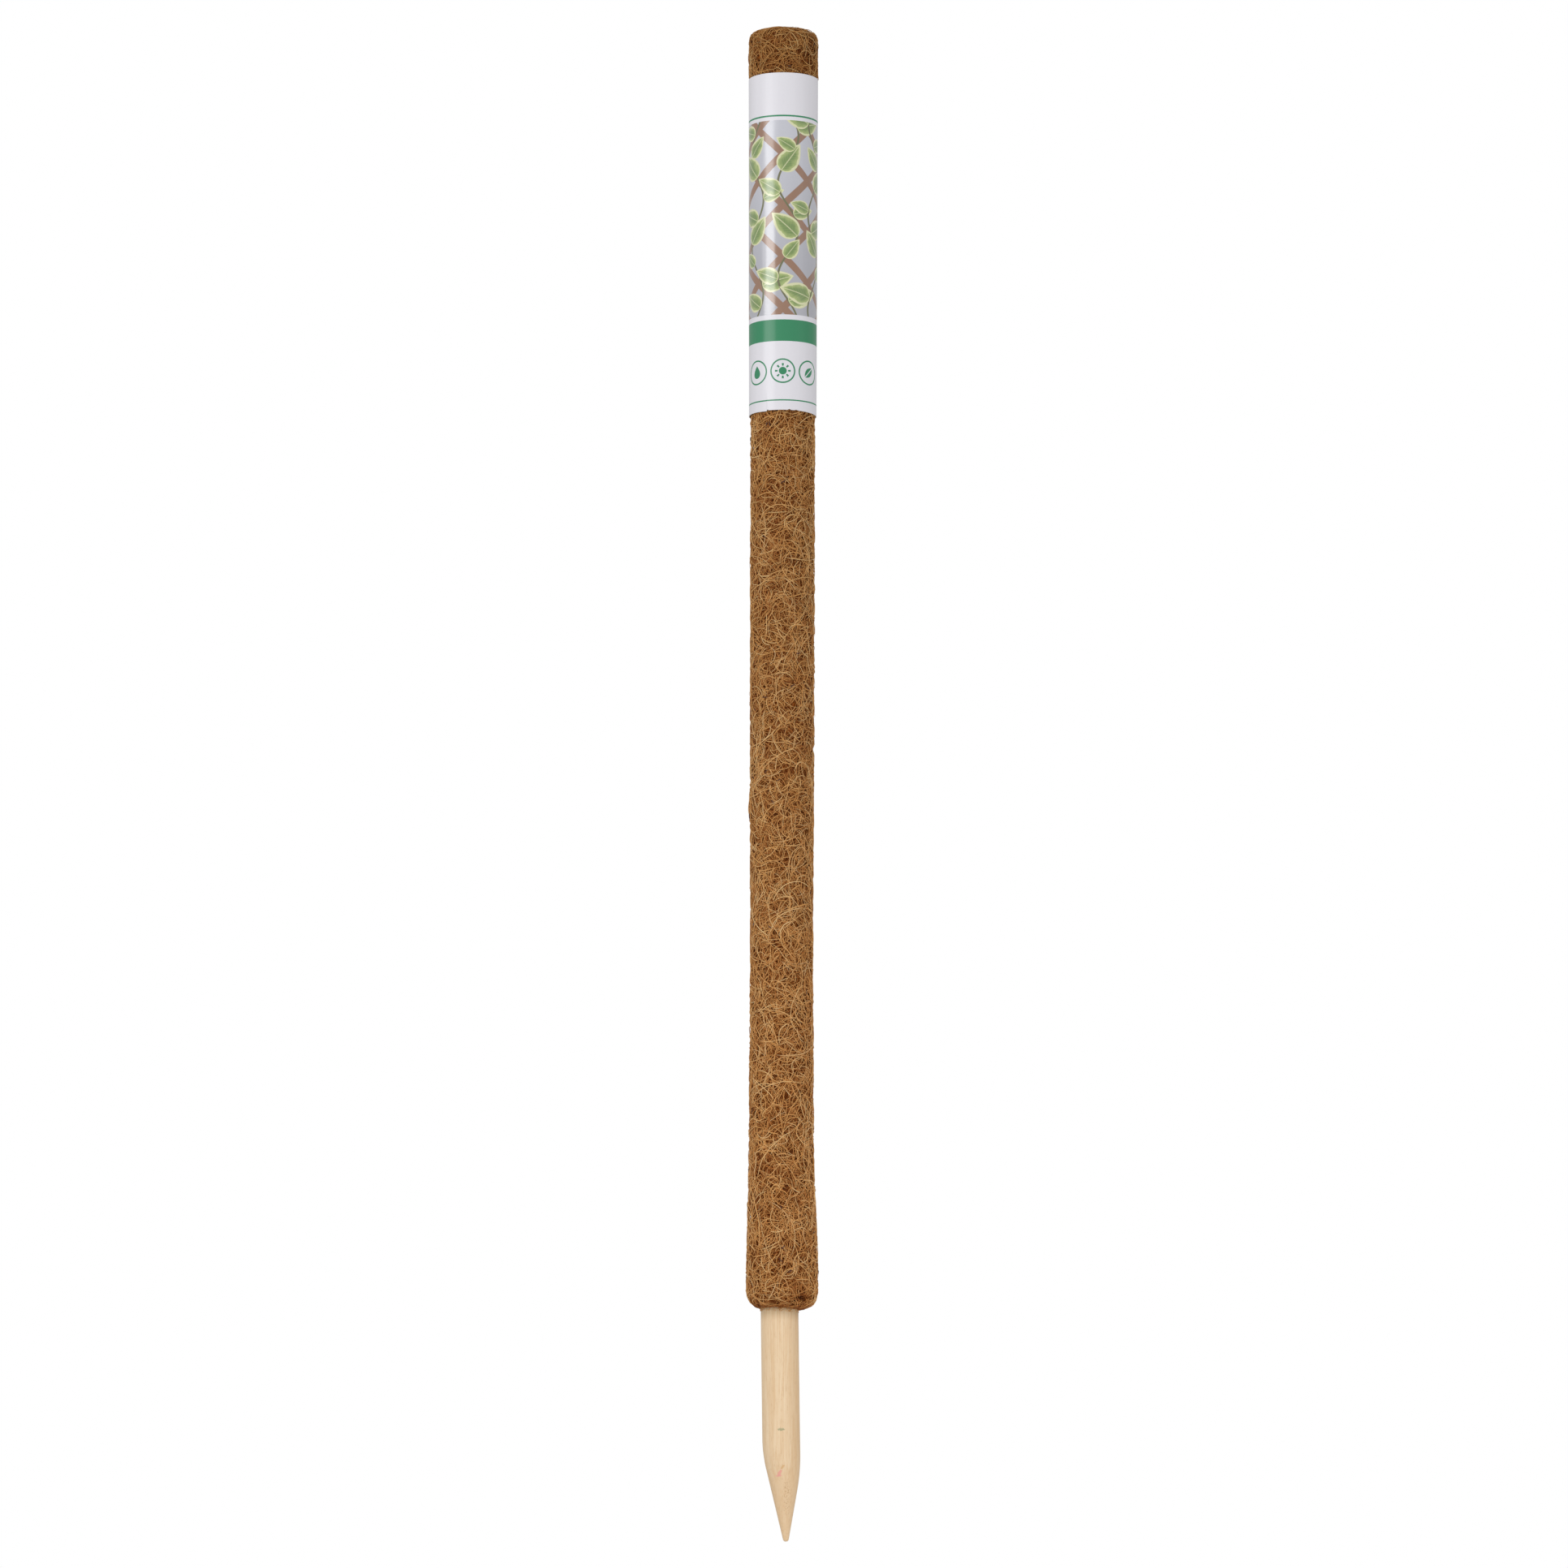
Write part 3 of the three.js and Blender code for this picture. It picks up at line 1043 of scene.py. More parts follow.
@dataclass
class MatProfile:
    """The outline of the mat's surface, from the fringe below it, over its side, to its bore at the top."""

    stake_radius: float
    length: float
    sleeve_base: float
    sleeve_top: float
    bore: float
    bore_gap: float = 0.3 * MM
    body: float = 19.1 * MM
    collar: float = 19.85 * MM
    crown: float = 20.75 * MM
    foot: float = 21.2 * MM
    foot_lip: float = 0.5 * MM
    foot_height: float = 10.5 * MM
    foot_rise: float = 92 * MM
    foot_steps: int = 15
    lip_drop: float = 0.6 * MM
    lip_gap: float = 0.35 * MM
    lip_share: float = 0.8
    waist: float = 0.6 * MM
    waist_height: float = 225 * MM
    waist_rise: float = 80 * MM
    crown_rise: float = 0.8 * MM
    dome: Pair = (7 * MM, 4.6 * MM)
    dome_steps: int = 12
    top_swell: float = 1.4 * MM
    fringe: float = 5 * MM
    fringe_gap: float = 0.15 * MM
    fringe_shares: tuple[float, ...] = (1, 0.8, 0.6, 0.4, 0.2)
    step: float = 1 * MM

    def side_radius(self, height: float) -> float:
        """The radius of the mat's side.

        Args:
            height: A height above the foot's widest place.

        Returns:
            The radius there.
        """
        swell = 1 - smoothstep(height, self.foot_height, self.foot_height + self.foot_rise)
        climb = min(max((height - self.sleeve_base) / (self.sleeve_top - self.sleeve_base), 0.0), 1.0)
        flare = smoothstep(height, self.sleeve_top, self.sleeve_top + self.crown_rise)
        waist = self.waist * math.exp(-(((height - self.waist_height) / self.waist_rise) ** 2))
        radius = self.body - waist + (self.foot - self.body) * swell
        return radius + (self.collar - self.body) * climb + (self.crown - self.collar) * flare

    def outline(self) -> list[Pair]:
        """The outline's points, radius and height, about a step apart.

        Returns:
            The points, from the fringe's lower end on.
        """
        start = self.bore + self.foot_lip
        points = [(self.stake_radius + self.fringe_gap, -self.fringe * share) for share in self.fringe_shares]
        points.append((self.stake_radius + self.lip_gap, -self.lip_share * self.lip_drop))
        points.append((start, -self.lip_drop))
        for step in range(1, self.foot_steps):
            turn = math.pi / 2 * step / self.foot_steps
            radius = start + (self.foot - start) * math.sin(turn)
            points.append((radius, self.foot_height - (self.foot_height + self.lip_drop) * math.cos(turn)))
        top = self.length - self.dome[1]
        count = round((top - self.foot_height) / self.step)
        for step in range(count + 1):
            height = self.foot_height + (top - self.foot_height) * step / count
            points.append((self.side_radius(height), height))
        inner = self.crown - self.dome[0]
        for step in range(1, self.dome_steps + 1):
            turn = math.pi / 2 * step / self.dome_steps
            points.append((inner + self.dome[0] * math.cos(turn), top + self.dome[1] * math.sin(turn)))
        points.append((self.bore, self.length))
        return points

    def distance_to(self, index: int) -> float:
        """How far along the outline one of its points is."""
        points = self.outline()[: index + 1]
        return sum(math.dist(a, b) for a, b in zip(points, points[1:]))

    def total(self) -> float:
        """The outline's whole length."""
        return self.distance_to(len(self.outline()) - 1)

    def lip(self) -> float:
        """How far along the outline the mat's lower lip is, where the fringe ends."""
        return self.distance_to(len(self.fringe_shares))


@dataclass(frozen=True)
class FibreLayer:
    """One layer of fibres: how many, how long, how thick, how curled, how deep in the mat they lie and how
    much painted shade darkens them.

    Each number is an input of the fibres' tree. Low and high say how far along the mat's outline the layer
    starts and ends.
    """

    name: str
    count: int
    steps: int
    seed: int
    shortest: float
    longest: float
    thinnest: float
    thickest: float
    least_bend: float
    most_bend: float
    wander: float
    deepest: float
    highest: float
    dip: float
    darkest: float
    palest: float
    low: float
    high: float
    spread: float = math.pi
    # Painted shade: deep shade darkens the tint of fibres that lie deeper in the mat.
    deep_shade: float = 0.0
    # Painted shade: flank shade darkens the sides of each fibre that face away from the outside.
    flank_shade: float = 0.75

    def copies(self, count: int, seed_step: int = 20) -> list["FibreLayer"]:
        """Numbered copies of the layer, each with its own seed.

        Args:
            count: How many.
            seed_step: How far apart their seeds are.

        Returns:
            The copies.
        """
        numbers = range(count)
        return [replace(self, name=f"{self.name}_{n + 1}", seed=self.seed + seed_step * n) for n in numbers]


@dataclass(frozen=True)
class MatForm:
    """How the rolled mat departs from round: its seam, staples' hollows, tuft, uneven foot and dent.

    Each number is an input of the fibres' tree, which shapes the fibres as placed shapes the felt.
    """

    first_staple: float
    staple_pitch: float
    crown_radius: float
    bore: float
    stake_bow: float
    straight_low: float
    straight_high: float
    rim_width: float = 4 * MM
    groove: float = 1.2 * MM
    groove_width: float = 1.3 * MM
    hollow_width: float = 6.2 * MM
    hollow_height: float = 4.6 * MM
    slant: float = 0.55 * MM
    slant_rise: float = 40 * MM
    slant_ease: float = 0.6
    foot_shift: float = 0.65 * MM
    shift_rise: float = 100 * MM
    shift_start: float = 0.2
    dent: float = 3.8 * MM
    dent_angle: float = 0.71
    dent_height: float = 5.4 * MM
    dent_width: float = 4.2 * MM
    dent_rise: float = 2.2 * MM
    dent_rim: float = 0.8
    tuft: float = 1.2 * MM
    tuft_angle: float = -1.45
    tuft_height: float = 294 * MM
    tuft_width: float = 4 * MM
    tuft_rise: float = 7 * MM

    def placed(self, radius: float, angle: float, height: float) -> Point:
        """Where a point of the round mat comes to lie.

        Args:
            radius: The radius before.
            angle: The angle from the front.
            height: The height before.

        Returns:
            The point.
        """
        turn = (angle + math.pi) % (2 * math.pi) - math.pi
        across = radius * (math.pi - abs(turn))
        groove = self.groove * math.exp(-((across / self.groove_width) ** 2))
        off = (height - self.first_staple + self.staple_pitch / 2) % self.staple_pitch - self.staple_pitch / 2
        hold = math.exp(-((across / self.hollow_width) ** 4) - (off / self.hollow_height) ** 2)
        side = radius * (turn - self.dent_angle) / self.dent_width
        above = ((height - self.dent_height) / self.dent_rise) ** 2
        dent = self.dent * math.exp(-(side**2) - above) * (1 - self.dent_rim * above)
        out = (radius - groove - dent) * (1 - hold) + min(radius, self.crown_radius) * hold
        outer = smoothstep(radius, self.bore, self.bore + self.rim_width)
        slanted = 1 - smoothstep(height, 0.0, self.slant_rise)
        lower = self.slant * math.sin(turn) * slanted * (1 - self.slant_ease * outer)
        shifted = 1 - smoothstep(height, self.shift_start * self.shift_rise, self.shift_rise)
        bowed = 1 - smoothstep(height, self.straight_low, self.straight_high)
        shift = self.foot_shift * shifted * outer + self.stake_bow * bowed * (1 - outer)
        x, y, z = around(out, turn, height - lower)
        return (x + shift, y, z)


class Draw(IntEnum):
    """Which of a fibre's own random numbers is drawn, as a step on its layer's seed."""

    LENGTH = 0
    HEADING = 1
    SIDE = 2
    BEND = 3
    START = 4
    DEPTH = 5
    SPIN = 6
    TINT = 7
    THICKNESS = 8


def fibre_tree() -> bpy.types.NodeTree:
    """Draws the tree that lays curled fibres on the mat's outline.

    The carrier's mesh is the outline. A fibre is an arc on the unrolled mat, with a random place, heading,
    bend and wander. It is rolled round the axis, and its ends dip into the mat. No fibre crosses the seam at
    the back.

    Returns:
        The tree.
    """
    flow_radius, flow_scale = 20, 65
    swing_pace, swing_fibre, swing_seed = 55, 3.7, 0.31
    lift, pressed, end_taper, least_radius = 0.35, 0.3, 0.7, 5 * MM
    painted_underside_edge, painted_underside_shade, painted_dent_shade, painted_dent_fall = (0.55, 1.0), 0.55, 0.95, 0.6
    painted_flank_edge = (-0.1, 0.9)
    map_left, map_width, map_side, map_foot, map_height = 0.01, 0.97, 0.008, 0.02, 0.94

    inputs = inputs_of(FibreLayer, MatForm)
    inputs["Mat Length"] = SocketKind.LENGTH
    inputs["Finish"] = SocketKind.FINISH
    sheet, given = shape_tree("coir fibres", inputs)
    outline = sheet.add("GeometryNodeMeshToCurve", None, {"Mesh": given["Geometry"]})
    spots = sheet.add("GeometryNodePoints", None, {"Count": given["Count"]})
    line = sheet.add("GeometryNodeCurvePrimitiveLine")
    straight = sheet.add("GeometryNodeResampleCurve", None, {"Curve": line, "Count": given["Steps"]})
    copies = sheet.add("GeometryNodeInstanceOnPoints", None, {"Points": spots, "Instance": straight})
    loose = sheet.add("GeometryNodeRealizeInstances", None, {"Geometry": copies})

    which = sheet.add("GeometryNodeCurveOfPoint", out="Curve Index")
    along = which.also("Index in Curve") / (given["Steps"] - 1)

    def drawn(low: Value, high: Value, number: Draw) -> Wire:
        """A random number of a fibre, the same at all its points."""
        sockets = {"Min": low, "Max": high, "ID": which, "Seed": given["Seed"] + int(number)}
        return sheet.add("FunctionNodeRandomValue", {"data_type": "FLOAT"}, sockets)

    length = drawn(given["Shortest"], given["Longest"], Draw.LENGTH)
    spin = drawn(-math.pi, math.pi, Draw.SPIN)
    start = drawn(given["Low"], given["High"], Draw.START)
    flow = sheet.noise(sheet.vector(spin * flow_radius * MM, start, 0), flow_scale, 1)
    heading = flow * 4 * math.pi + drawn(-1, 1, Draw.HEADING) * given["Spread"]
    side = sheet.math("SIGN", drawn(-1, 1, Draw.SIDE))
    bend = drawn(given["Least Bend"], given["Most Bend"], Draw.BEND) * side
    run = length * (along - 0.5)
    ahead = sheet.math("SINE", bend * run) / bend
    sideways = (1 - sheet.math("COSINE", bend * run)) / bend
    swing = sheet.vector(along * length * swing_pace, which * swing_fibre, given["Seed"] * swing_seed)
    drift = sheet.add("ShaderNodeTexNoise", None, {"Vector": swing, "Scale": 1.0, "Detail": 2.0}, "Color")
    drift_x, drift_y, drift_z = sheet.parts(drift)
    cosine = sheet.math("COSINE", heading)
    sine = sheet.math("SINE", heading)
    across = ahead * cosine - sideways * sine + (drift_x - 0.5) * given["Wander"]
    up = ahead * sine + sideways * cosine + (drift_y - 0.5) * given["Wander"]

    place = given["Low"] + abs(start + up - given["Low"])
    found = {"Curves": outline, "Length": place}
    edge = sheet.add("GeometryNodeSampleCurve", {"mode": "LENGTH"}, found, "Position")
    radius, _, height = sheet.parts(edge)
    lean_r, _, lean_z = sheet.parts(edge.also("Tangent"))
    middle = abs(along * 2 - 1)
    laid_at = drawn(given["Deepest"], given["Highest"], Draw.DEPTH)
    depth = laid_at - given["Dip"] * middle ** 3 + (drift_z - 0.5) * given["Wander"] * lift
    out = radius + lean_z * depth
    height = height - lean_r * depth
    turn = spin + across / sheet.math("MAXIMUM", radius, least_radius)
    turn = sheet.math("PINGPONG", turn + math.pi, 2 * math.pi) - math.pi

    seam = radius * (math.pi - abs(turn))
    groove = given["Groove"] * sheet.math("EXPONENT", 0 - (seam / given["Groove Width"]) ** 2)
    half = given["Staple Pitch"] / 2
    off = sheet.math("WRAP", height - given["First Staple"], half, 0 - half)
    fall = (seam / given["Hollow Width"]) ** 4 + (abs(off) / given["Hollow Height"]) ** 2
    hold = sheet.math("EXPONENT", 0 - fall)
    held = sheet.math("MINIMUM", out, given["Crown Radius"] + depth * pressed)
    aside = radius * (turn - given["Dent Angle"]) / given["Dent Width"]
    above = (height - given["Dent Height"]) / given["Dent Rise"]
    above = above * above
    inside = sheet.math("EXPONENT", 0 - aside * aside - above)
    dent = given["Dent"] * inside * (1 - given["Dent Rim"] * above)
    beside = radius * (turn - given["Tuft Angle"]) / given["Tuft Width"]
    over = (height - given["Tuft Height"]) / given["Tuft Rise"]
    tuft = given["Tuft"] * sheet.math("EXPONENT", 0 - beside * beside - over * over)
    out = (out + tuft - groove - dent) * (1 - hold) + held * hold
    outer = sheet.rise(radius, given["Bore"], given["Bore"] + given["Rim Width"])
    slanted = 1 - sheet.rise(height, 0.0, given["Slant Rise"])
    lower = given["Slant"] * sheet.math("SINE", turn) * slanted * (1 - given["Slant Ease"] * outer)
    shifted = 1 - sheet.rise(height, given["Shift Start"] * given["Shift Rise"], given["Shift Rise"])
    bowed = 1 - sheet.rise(height, given["Straight Low"], given["Straight High"])
    shift = given["Foot Shift"] * shifted * outer + given["Stake Bow"] * bowed * (1 - outer)
    spot_x = out * sheet.math("SINE", turn) + shift
    spot = sheet.vector(spot_x, 0 - out * sheet.math("COSINE", turn), height - lower)
    laid = sheet.add("GeometryNodeSetPosition", None, {"Geometry": loose, "Position": spot})

    # Painted shade: fibres that lie deeper get a darker tint.
    sunk = (given["Highest"] - laid_at) / (given["Highest"] - given["Deepest"])
    # Painted shade: where the outline faces down, under the mat's foot, the fibres' tint is darkened.
    below = sheet.rise(lean_r, *painted_underside_edge)
    tint_and_painted_shade = drawn(given["Darkest"], given["Palest"], Draw.TINT) * (1 - given["Deep Shade"] * sunk)
    # Painted shade: fibres in the dent's hollow are darkened, and so are those on the mat's underside.
    tint_and_painted_shade = tint_and_painted_shade * (1 - painted_dent_shade * inside ** painted_dent_fall) * (1 - painted_underside_shade * below)
    tinted = sheet.stored(laid, TINT, tint_and_painted_shade)
    ring = sheet.add("GeometryNodeCurvePrimitiveCircle", {"mode": "RADIUS"}, {"Resolution": 3, "Radius": 1.0})
    ring = sheet.stored(ring, "side", sheet.add("GeometryNodeInputIndex") * 0.5)
    thick = drawn(given["Thinnest"], given["Thickest"], Draw.THICKNESS) * 0.5 * (1 - end_taper * middle ** 6)
    sweep = {"Curve": tinted, "Profile Curve": ring, "Scale": thick, "Fill Caps": True}
    tubes = sheet.add("GeometryNodeCurveToMesh", None, sweep)

    # Painted shade: the sides of each tube that face inwards are darkened in the stored tint, as if shaded by
    # the fibres round them.
    x, y, z = sheet.parts(sheet.add("GeometryNodeInputPosition"))
    facing_x, facing_y, _ = sheet.parts(sheet.add("GeometryNodeInputNormal"))
    outward = (x * facing_x + y * facing_y) / sheet.math("SQRT", x * x + y * y)
    flank = 1 - sheet.rise(outward, *painted_flank_edge)
    tubes = sheet.stored(tubes, TINT, sheet.kept(TINT) * (1 - given["Flank Shade"] * flank))
    u = map_left + sheet.kept(TINT) * map_width + sheet.kept("side") * map_side
    spot = sheet.vector(u, map_foot + z / given["Mat Length"] * map_height, 0)
    mapped = sheet.stored(tubes, BAKE_MAP, spot, "FLOAT2", "CORNER")
    close_tree(sheet, mapped, given["Finish"])
    return sheet.tree


@dataclass
class CoirMat:
    """The mat of coconut fibre: a felted body under layers of separate fibres."""

    profile: MatProfile
    form: MatForm
    columns: int = 112
    felt_depth: float = 2.1 * MM
    felt_rough: float = 0.35 * MM
    felt_grain: float = 2.6 * MM
    felt_ends: Pair = (0.4 * MM, 0.6 * MM)
    rough_from: float = 1.15

    def build_felt(self) -> bpy.types.Object:
        """Makes the closed body of the mat, rough and drawn in along the seam.

        Returns:
            The felt piece.
        """
        outline = self._felt_outline()
        rows = len(outline)
        smooth_within = self.profile.bore * self.rough_from
        points = []
        for radius, height in outline:
            for column in range(self.columns):
                angle = 2 * math.pi * column / self.columns
                spot = around(radius / self.felt_grain, angle, height / self.felt_grain)
                rough = self.felt_rough * noise.noise(Vector(spot)) if radius > smooth_within else 0.0
                points.append(self.form.placed(radius + rough, angle, height))
        faces = ring_faces(rows, self.columns)
        last = (rows - 1) * self.columns
        for column in range(self.columns):
            after = (column + 1) % self.columns
            faces.append((last + column, last + after, after, column))
        finish = FeltFinish("coir_felt", 0.95).material()
        piece = mesh_piece("coir_felt", points, faces, [finish])
        spots = []
        for index in range(len(faces)):
            row, column = divmod(index, self.columns)
            u, v = column / self.columns, row / rows
            right, top = (column + 1) / self.columns, (row + 1) / rows
            spots.extend((u, v, right, v, right, top, u, top))
        chart(piece, BAKE_MAP, spots)
        return piece

    def _felt_outline(self) -> list[Pair]:
        """The felt's closed outline, a little inside the fibres, up its side and down its bore.

        Returns:
            The points, radius and height.
        """
        bore = self.profile.bore
        points = [spot for spot in self.profile.outline() if spot[0] >= bore]
        inner = []
        for before, spot, after in zip(points, points[1:], points[2:]):
            lean = Vector((after[0] - before[0], after[1] - before[1])).normalized()
            inner.append((spot[0] - lean.y * self.felt_depth, spot[1] + lean.x * self.felt_depth))
        side = [inner[0]] + inner[1:-1:2] + [inner[-1]]
        return [(bore, self.felt_ends[0])] + side + [(bore, self.profile.length - self.felt_ends[1])]

    def build_fibres(self, finish: bpy.types.Material) -> list[bpy.types.Object]:
        """Lays every layer of fibres.

        Args:
            finish: The fibres' material.

        Returns:
            One piece for each layer.
        """
        tree = fibre_tree()
        path = [(radius, 0.0, height) for radius, height in self.profile.outline()]
        shared = {**titled(self.form), "Mat Length": self.profile.length, "Finish": finish}
        return [grown(layer.name, path, tree, {**titled(layer), **shared}) for layer in self._layers()]

    def _layers(self) -> list[FibreLayer]:
        """Plans the mat's layers.

        Returns:
            The layers, in the order in which they are laid.
        """
        lip, total = self.profile.lip(), self.profile.total()
        tangle = FibreLayer(
            "coir_tangle", count=4200, steps=8, seed=100, shortest=7 * MM, longest=16 * MM,
            thinnest=0.36 * MM, thickest=0.62 * MM, least_bend=10, most_bend=200, wander=4.5 * MM,
            deepest=-1.1 * MM, highest=0.0, dip=0.5 * MM, darkest=0.42, palest=0.95,
            low=lip, high=total, spread=2.6, deep_shade=0.75,
        )
        # Painted shade: the under layer lies deeper and takes darker tints as well as more depth shade.
        under = replace(
            tangle, name="coir_under", count=3800, seed=500, thinnest=0.38 * MM, thickest=0.64 * MM,
            most_bend=160, wander=4 * MM, deepest=-1.6 * MM, highest=-0.5 * MM, dip=0.3 * MM,
            darkest=0.2, palest=0.58, deep_shade=0.8,
        )
        strands = FibreLayer(
            "coir_strands", count=500, steps=24, seed=300, shortest=14 * MM, longest=44 * MM,
            thinnest=0.44 * MM, thickest=0.7 * MM, least_bend=8, most_bend=65, wander=4 * MM,
            deepest=-0.3 * MM, highest=0.1 * MM, dip=0.9 * MM, darkest=0.42, palest=0.82,
            low=lip + 3 * MM, high=total - 14 * MM, flank_shade=0.5,
        )
        fuzz = FibreLayer(
            "coir_fuzz", count=650, steps=8, seed=340, shortest=4 * MM, longest=12 * MM,
            thinnest=0.16 * MM, thickest=0.26 * MM, least_bend=60, most_bend=220, wander=4 * MM,
            deepest=0.0, highest=0.3 * MM, dip=0.8 * MM, darkest=0.3, palest=0.9, low=lip, high=total,
        )
        fringe = FibreLayer(
            "coir_fringe", count=190, steps=8, seed=384, shortest=2 * MM, longest=6 * MM,
            thinnest=0.16 * MM, thickest=0.3 * MM, least_bend=20, most_bend=190, wander=2 * MM,
            deepest=-0.05 * MM, highest=0.2 * MM, dip=0.2 * MM, darkest=0.4, palest=0.95,
            low=2.4 * MM, high=lip + 3 * MM,
        )
        chips = FibreLayer(
            "coir_chips", count=110, steps=5, seed=420, shortest=1.6 * MM, longest=5 * MM,
            thinnest=0.45 * MM, thickest=0.9 * MM, least_bend=4, most_bend=90, wander=0.6 * MM,
            deepest=-0.25 * MM, highest=0.05 * MM, dip=0.2 * MM, darkest=0.0, palest=0.01,
            low=lip, high=total,
        )
        return tangle.copies(6) + under.copies(3) + [strands, fuzz, fringe, chips]


@dataclass
class Staples:
    """The wire staples that hold the mat's seam to the stake."""

    width: float
    crown: float
    wire: float
    first: float
    pitch: float
    count: int
    leg: float = 12 * MM
    corner: float = 1.1 * MM
    sunk: float = 0.55

    def build(self) -> bpy.types.Object:
        """Bends one staple from round wire and sets the row of them.

        Returns:
            The staples, as one piece.
        """
        corner_steps, wire_sides = 5, 8
        inputs = {name: SocketKind.LENGTH for name in ("Wire", "Corner", "First", "Pitch")}
        inputs["Count"] = SocketKind.COUNT
        inputs["Finish"] = SocketKind.FINISH
        sheet, given = shape_tree("seam staples", inputs)
        path = sheet.add("GeometryNodeMeshToCurve", None, {"Mesh": given["Geometry"]})
        rounded = {"Curve": path, "Radius": given["Corner"], "Count": corner_steps, "Limit Radius": True}
        bent = sheet.add("GeometryNodeFilletCurve", {"mode": "POLY"}, rounded)
        circle = {"Resolution": wire_sides, "Radius": 1.0}
        section = sheet.add("GeometryNodeCurvePrimitiveCircle", {"mode": "RADIUS"}, circle)
        sweep = {"Curve": bent, "Profile Curve": section, "Scale": given["Wire"] / 2, "Fill Caps": True}
        staple = sheet.add("GeometryNodeCurveToMesh", None, sweep)
        start = sheet.vector(0, 0, given["First"])
        step = sheet.vector(0, 0, given["Pitch"])
        places = {"Count": given["Count"], "Start Location": start, "Offset": step}
        row = sheet.add("GeometryNodeMeshLine", {"mode": "OFFSET"}, places)
        set_in = sheet.add("GeometryNodeInstanceOnPoints", None, {"Points": row, "Instance": staple})
        close_tree(sheet, set_in, given["Finish"])
        half = (self.width - self.wire) / 2
        line = self.crown - self.wire / 2
        tip = self.crown - self.leg
        corners = [(-half, tip, 0.0), (-half, line, 0.0), (half, line, 0.0), (half, tip, 0.0)]
        values = titled(self)
        values["Finish"] = WireFinish("galvanised_wire", 0.35).material()
        return grown("seam_staples", corners, sheet.tree, values)

    def hold_radius(self) -> float:
        """How far out the fibre is under the staples, which are a little more than half sunk in it."""
        return self.crown - self.sunk * self.wire


@dataclass(frozen=True)
class Nick:
    """A nick in the card's lower edge, by its angle, its width as an angle and its depth."""

    angle: float
    width: float
    depth: float


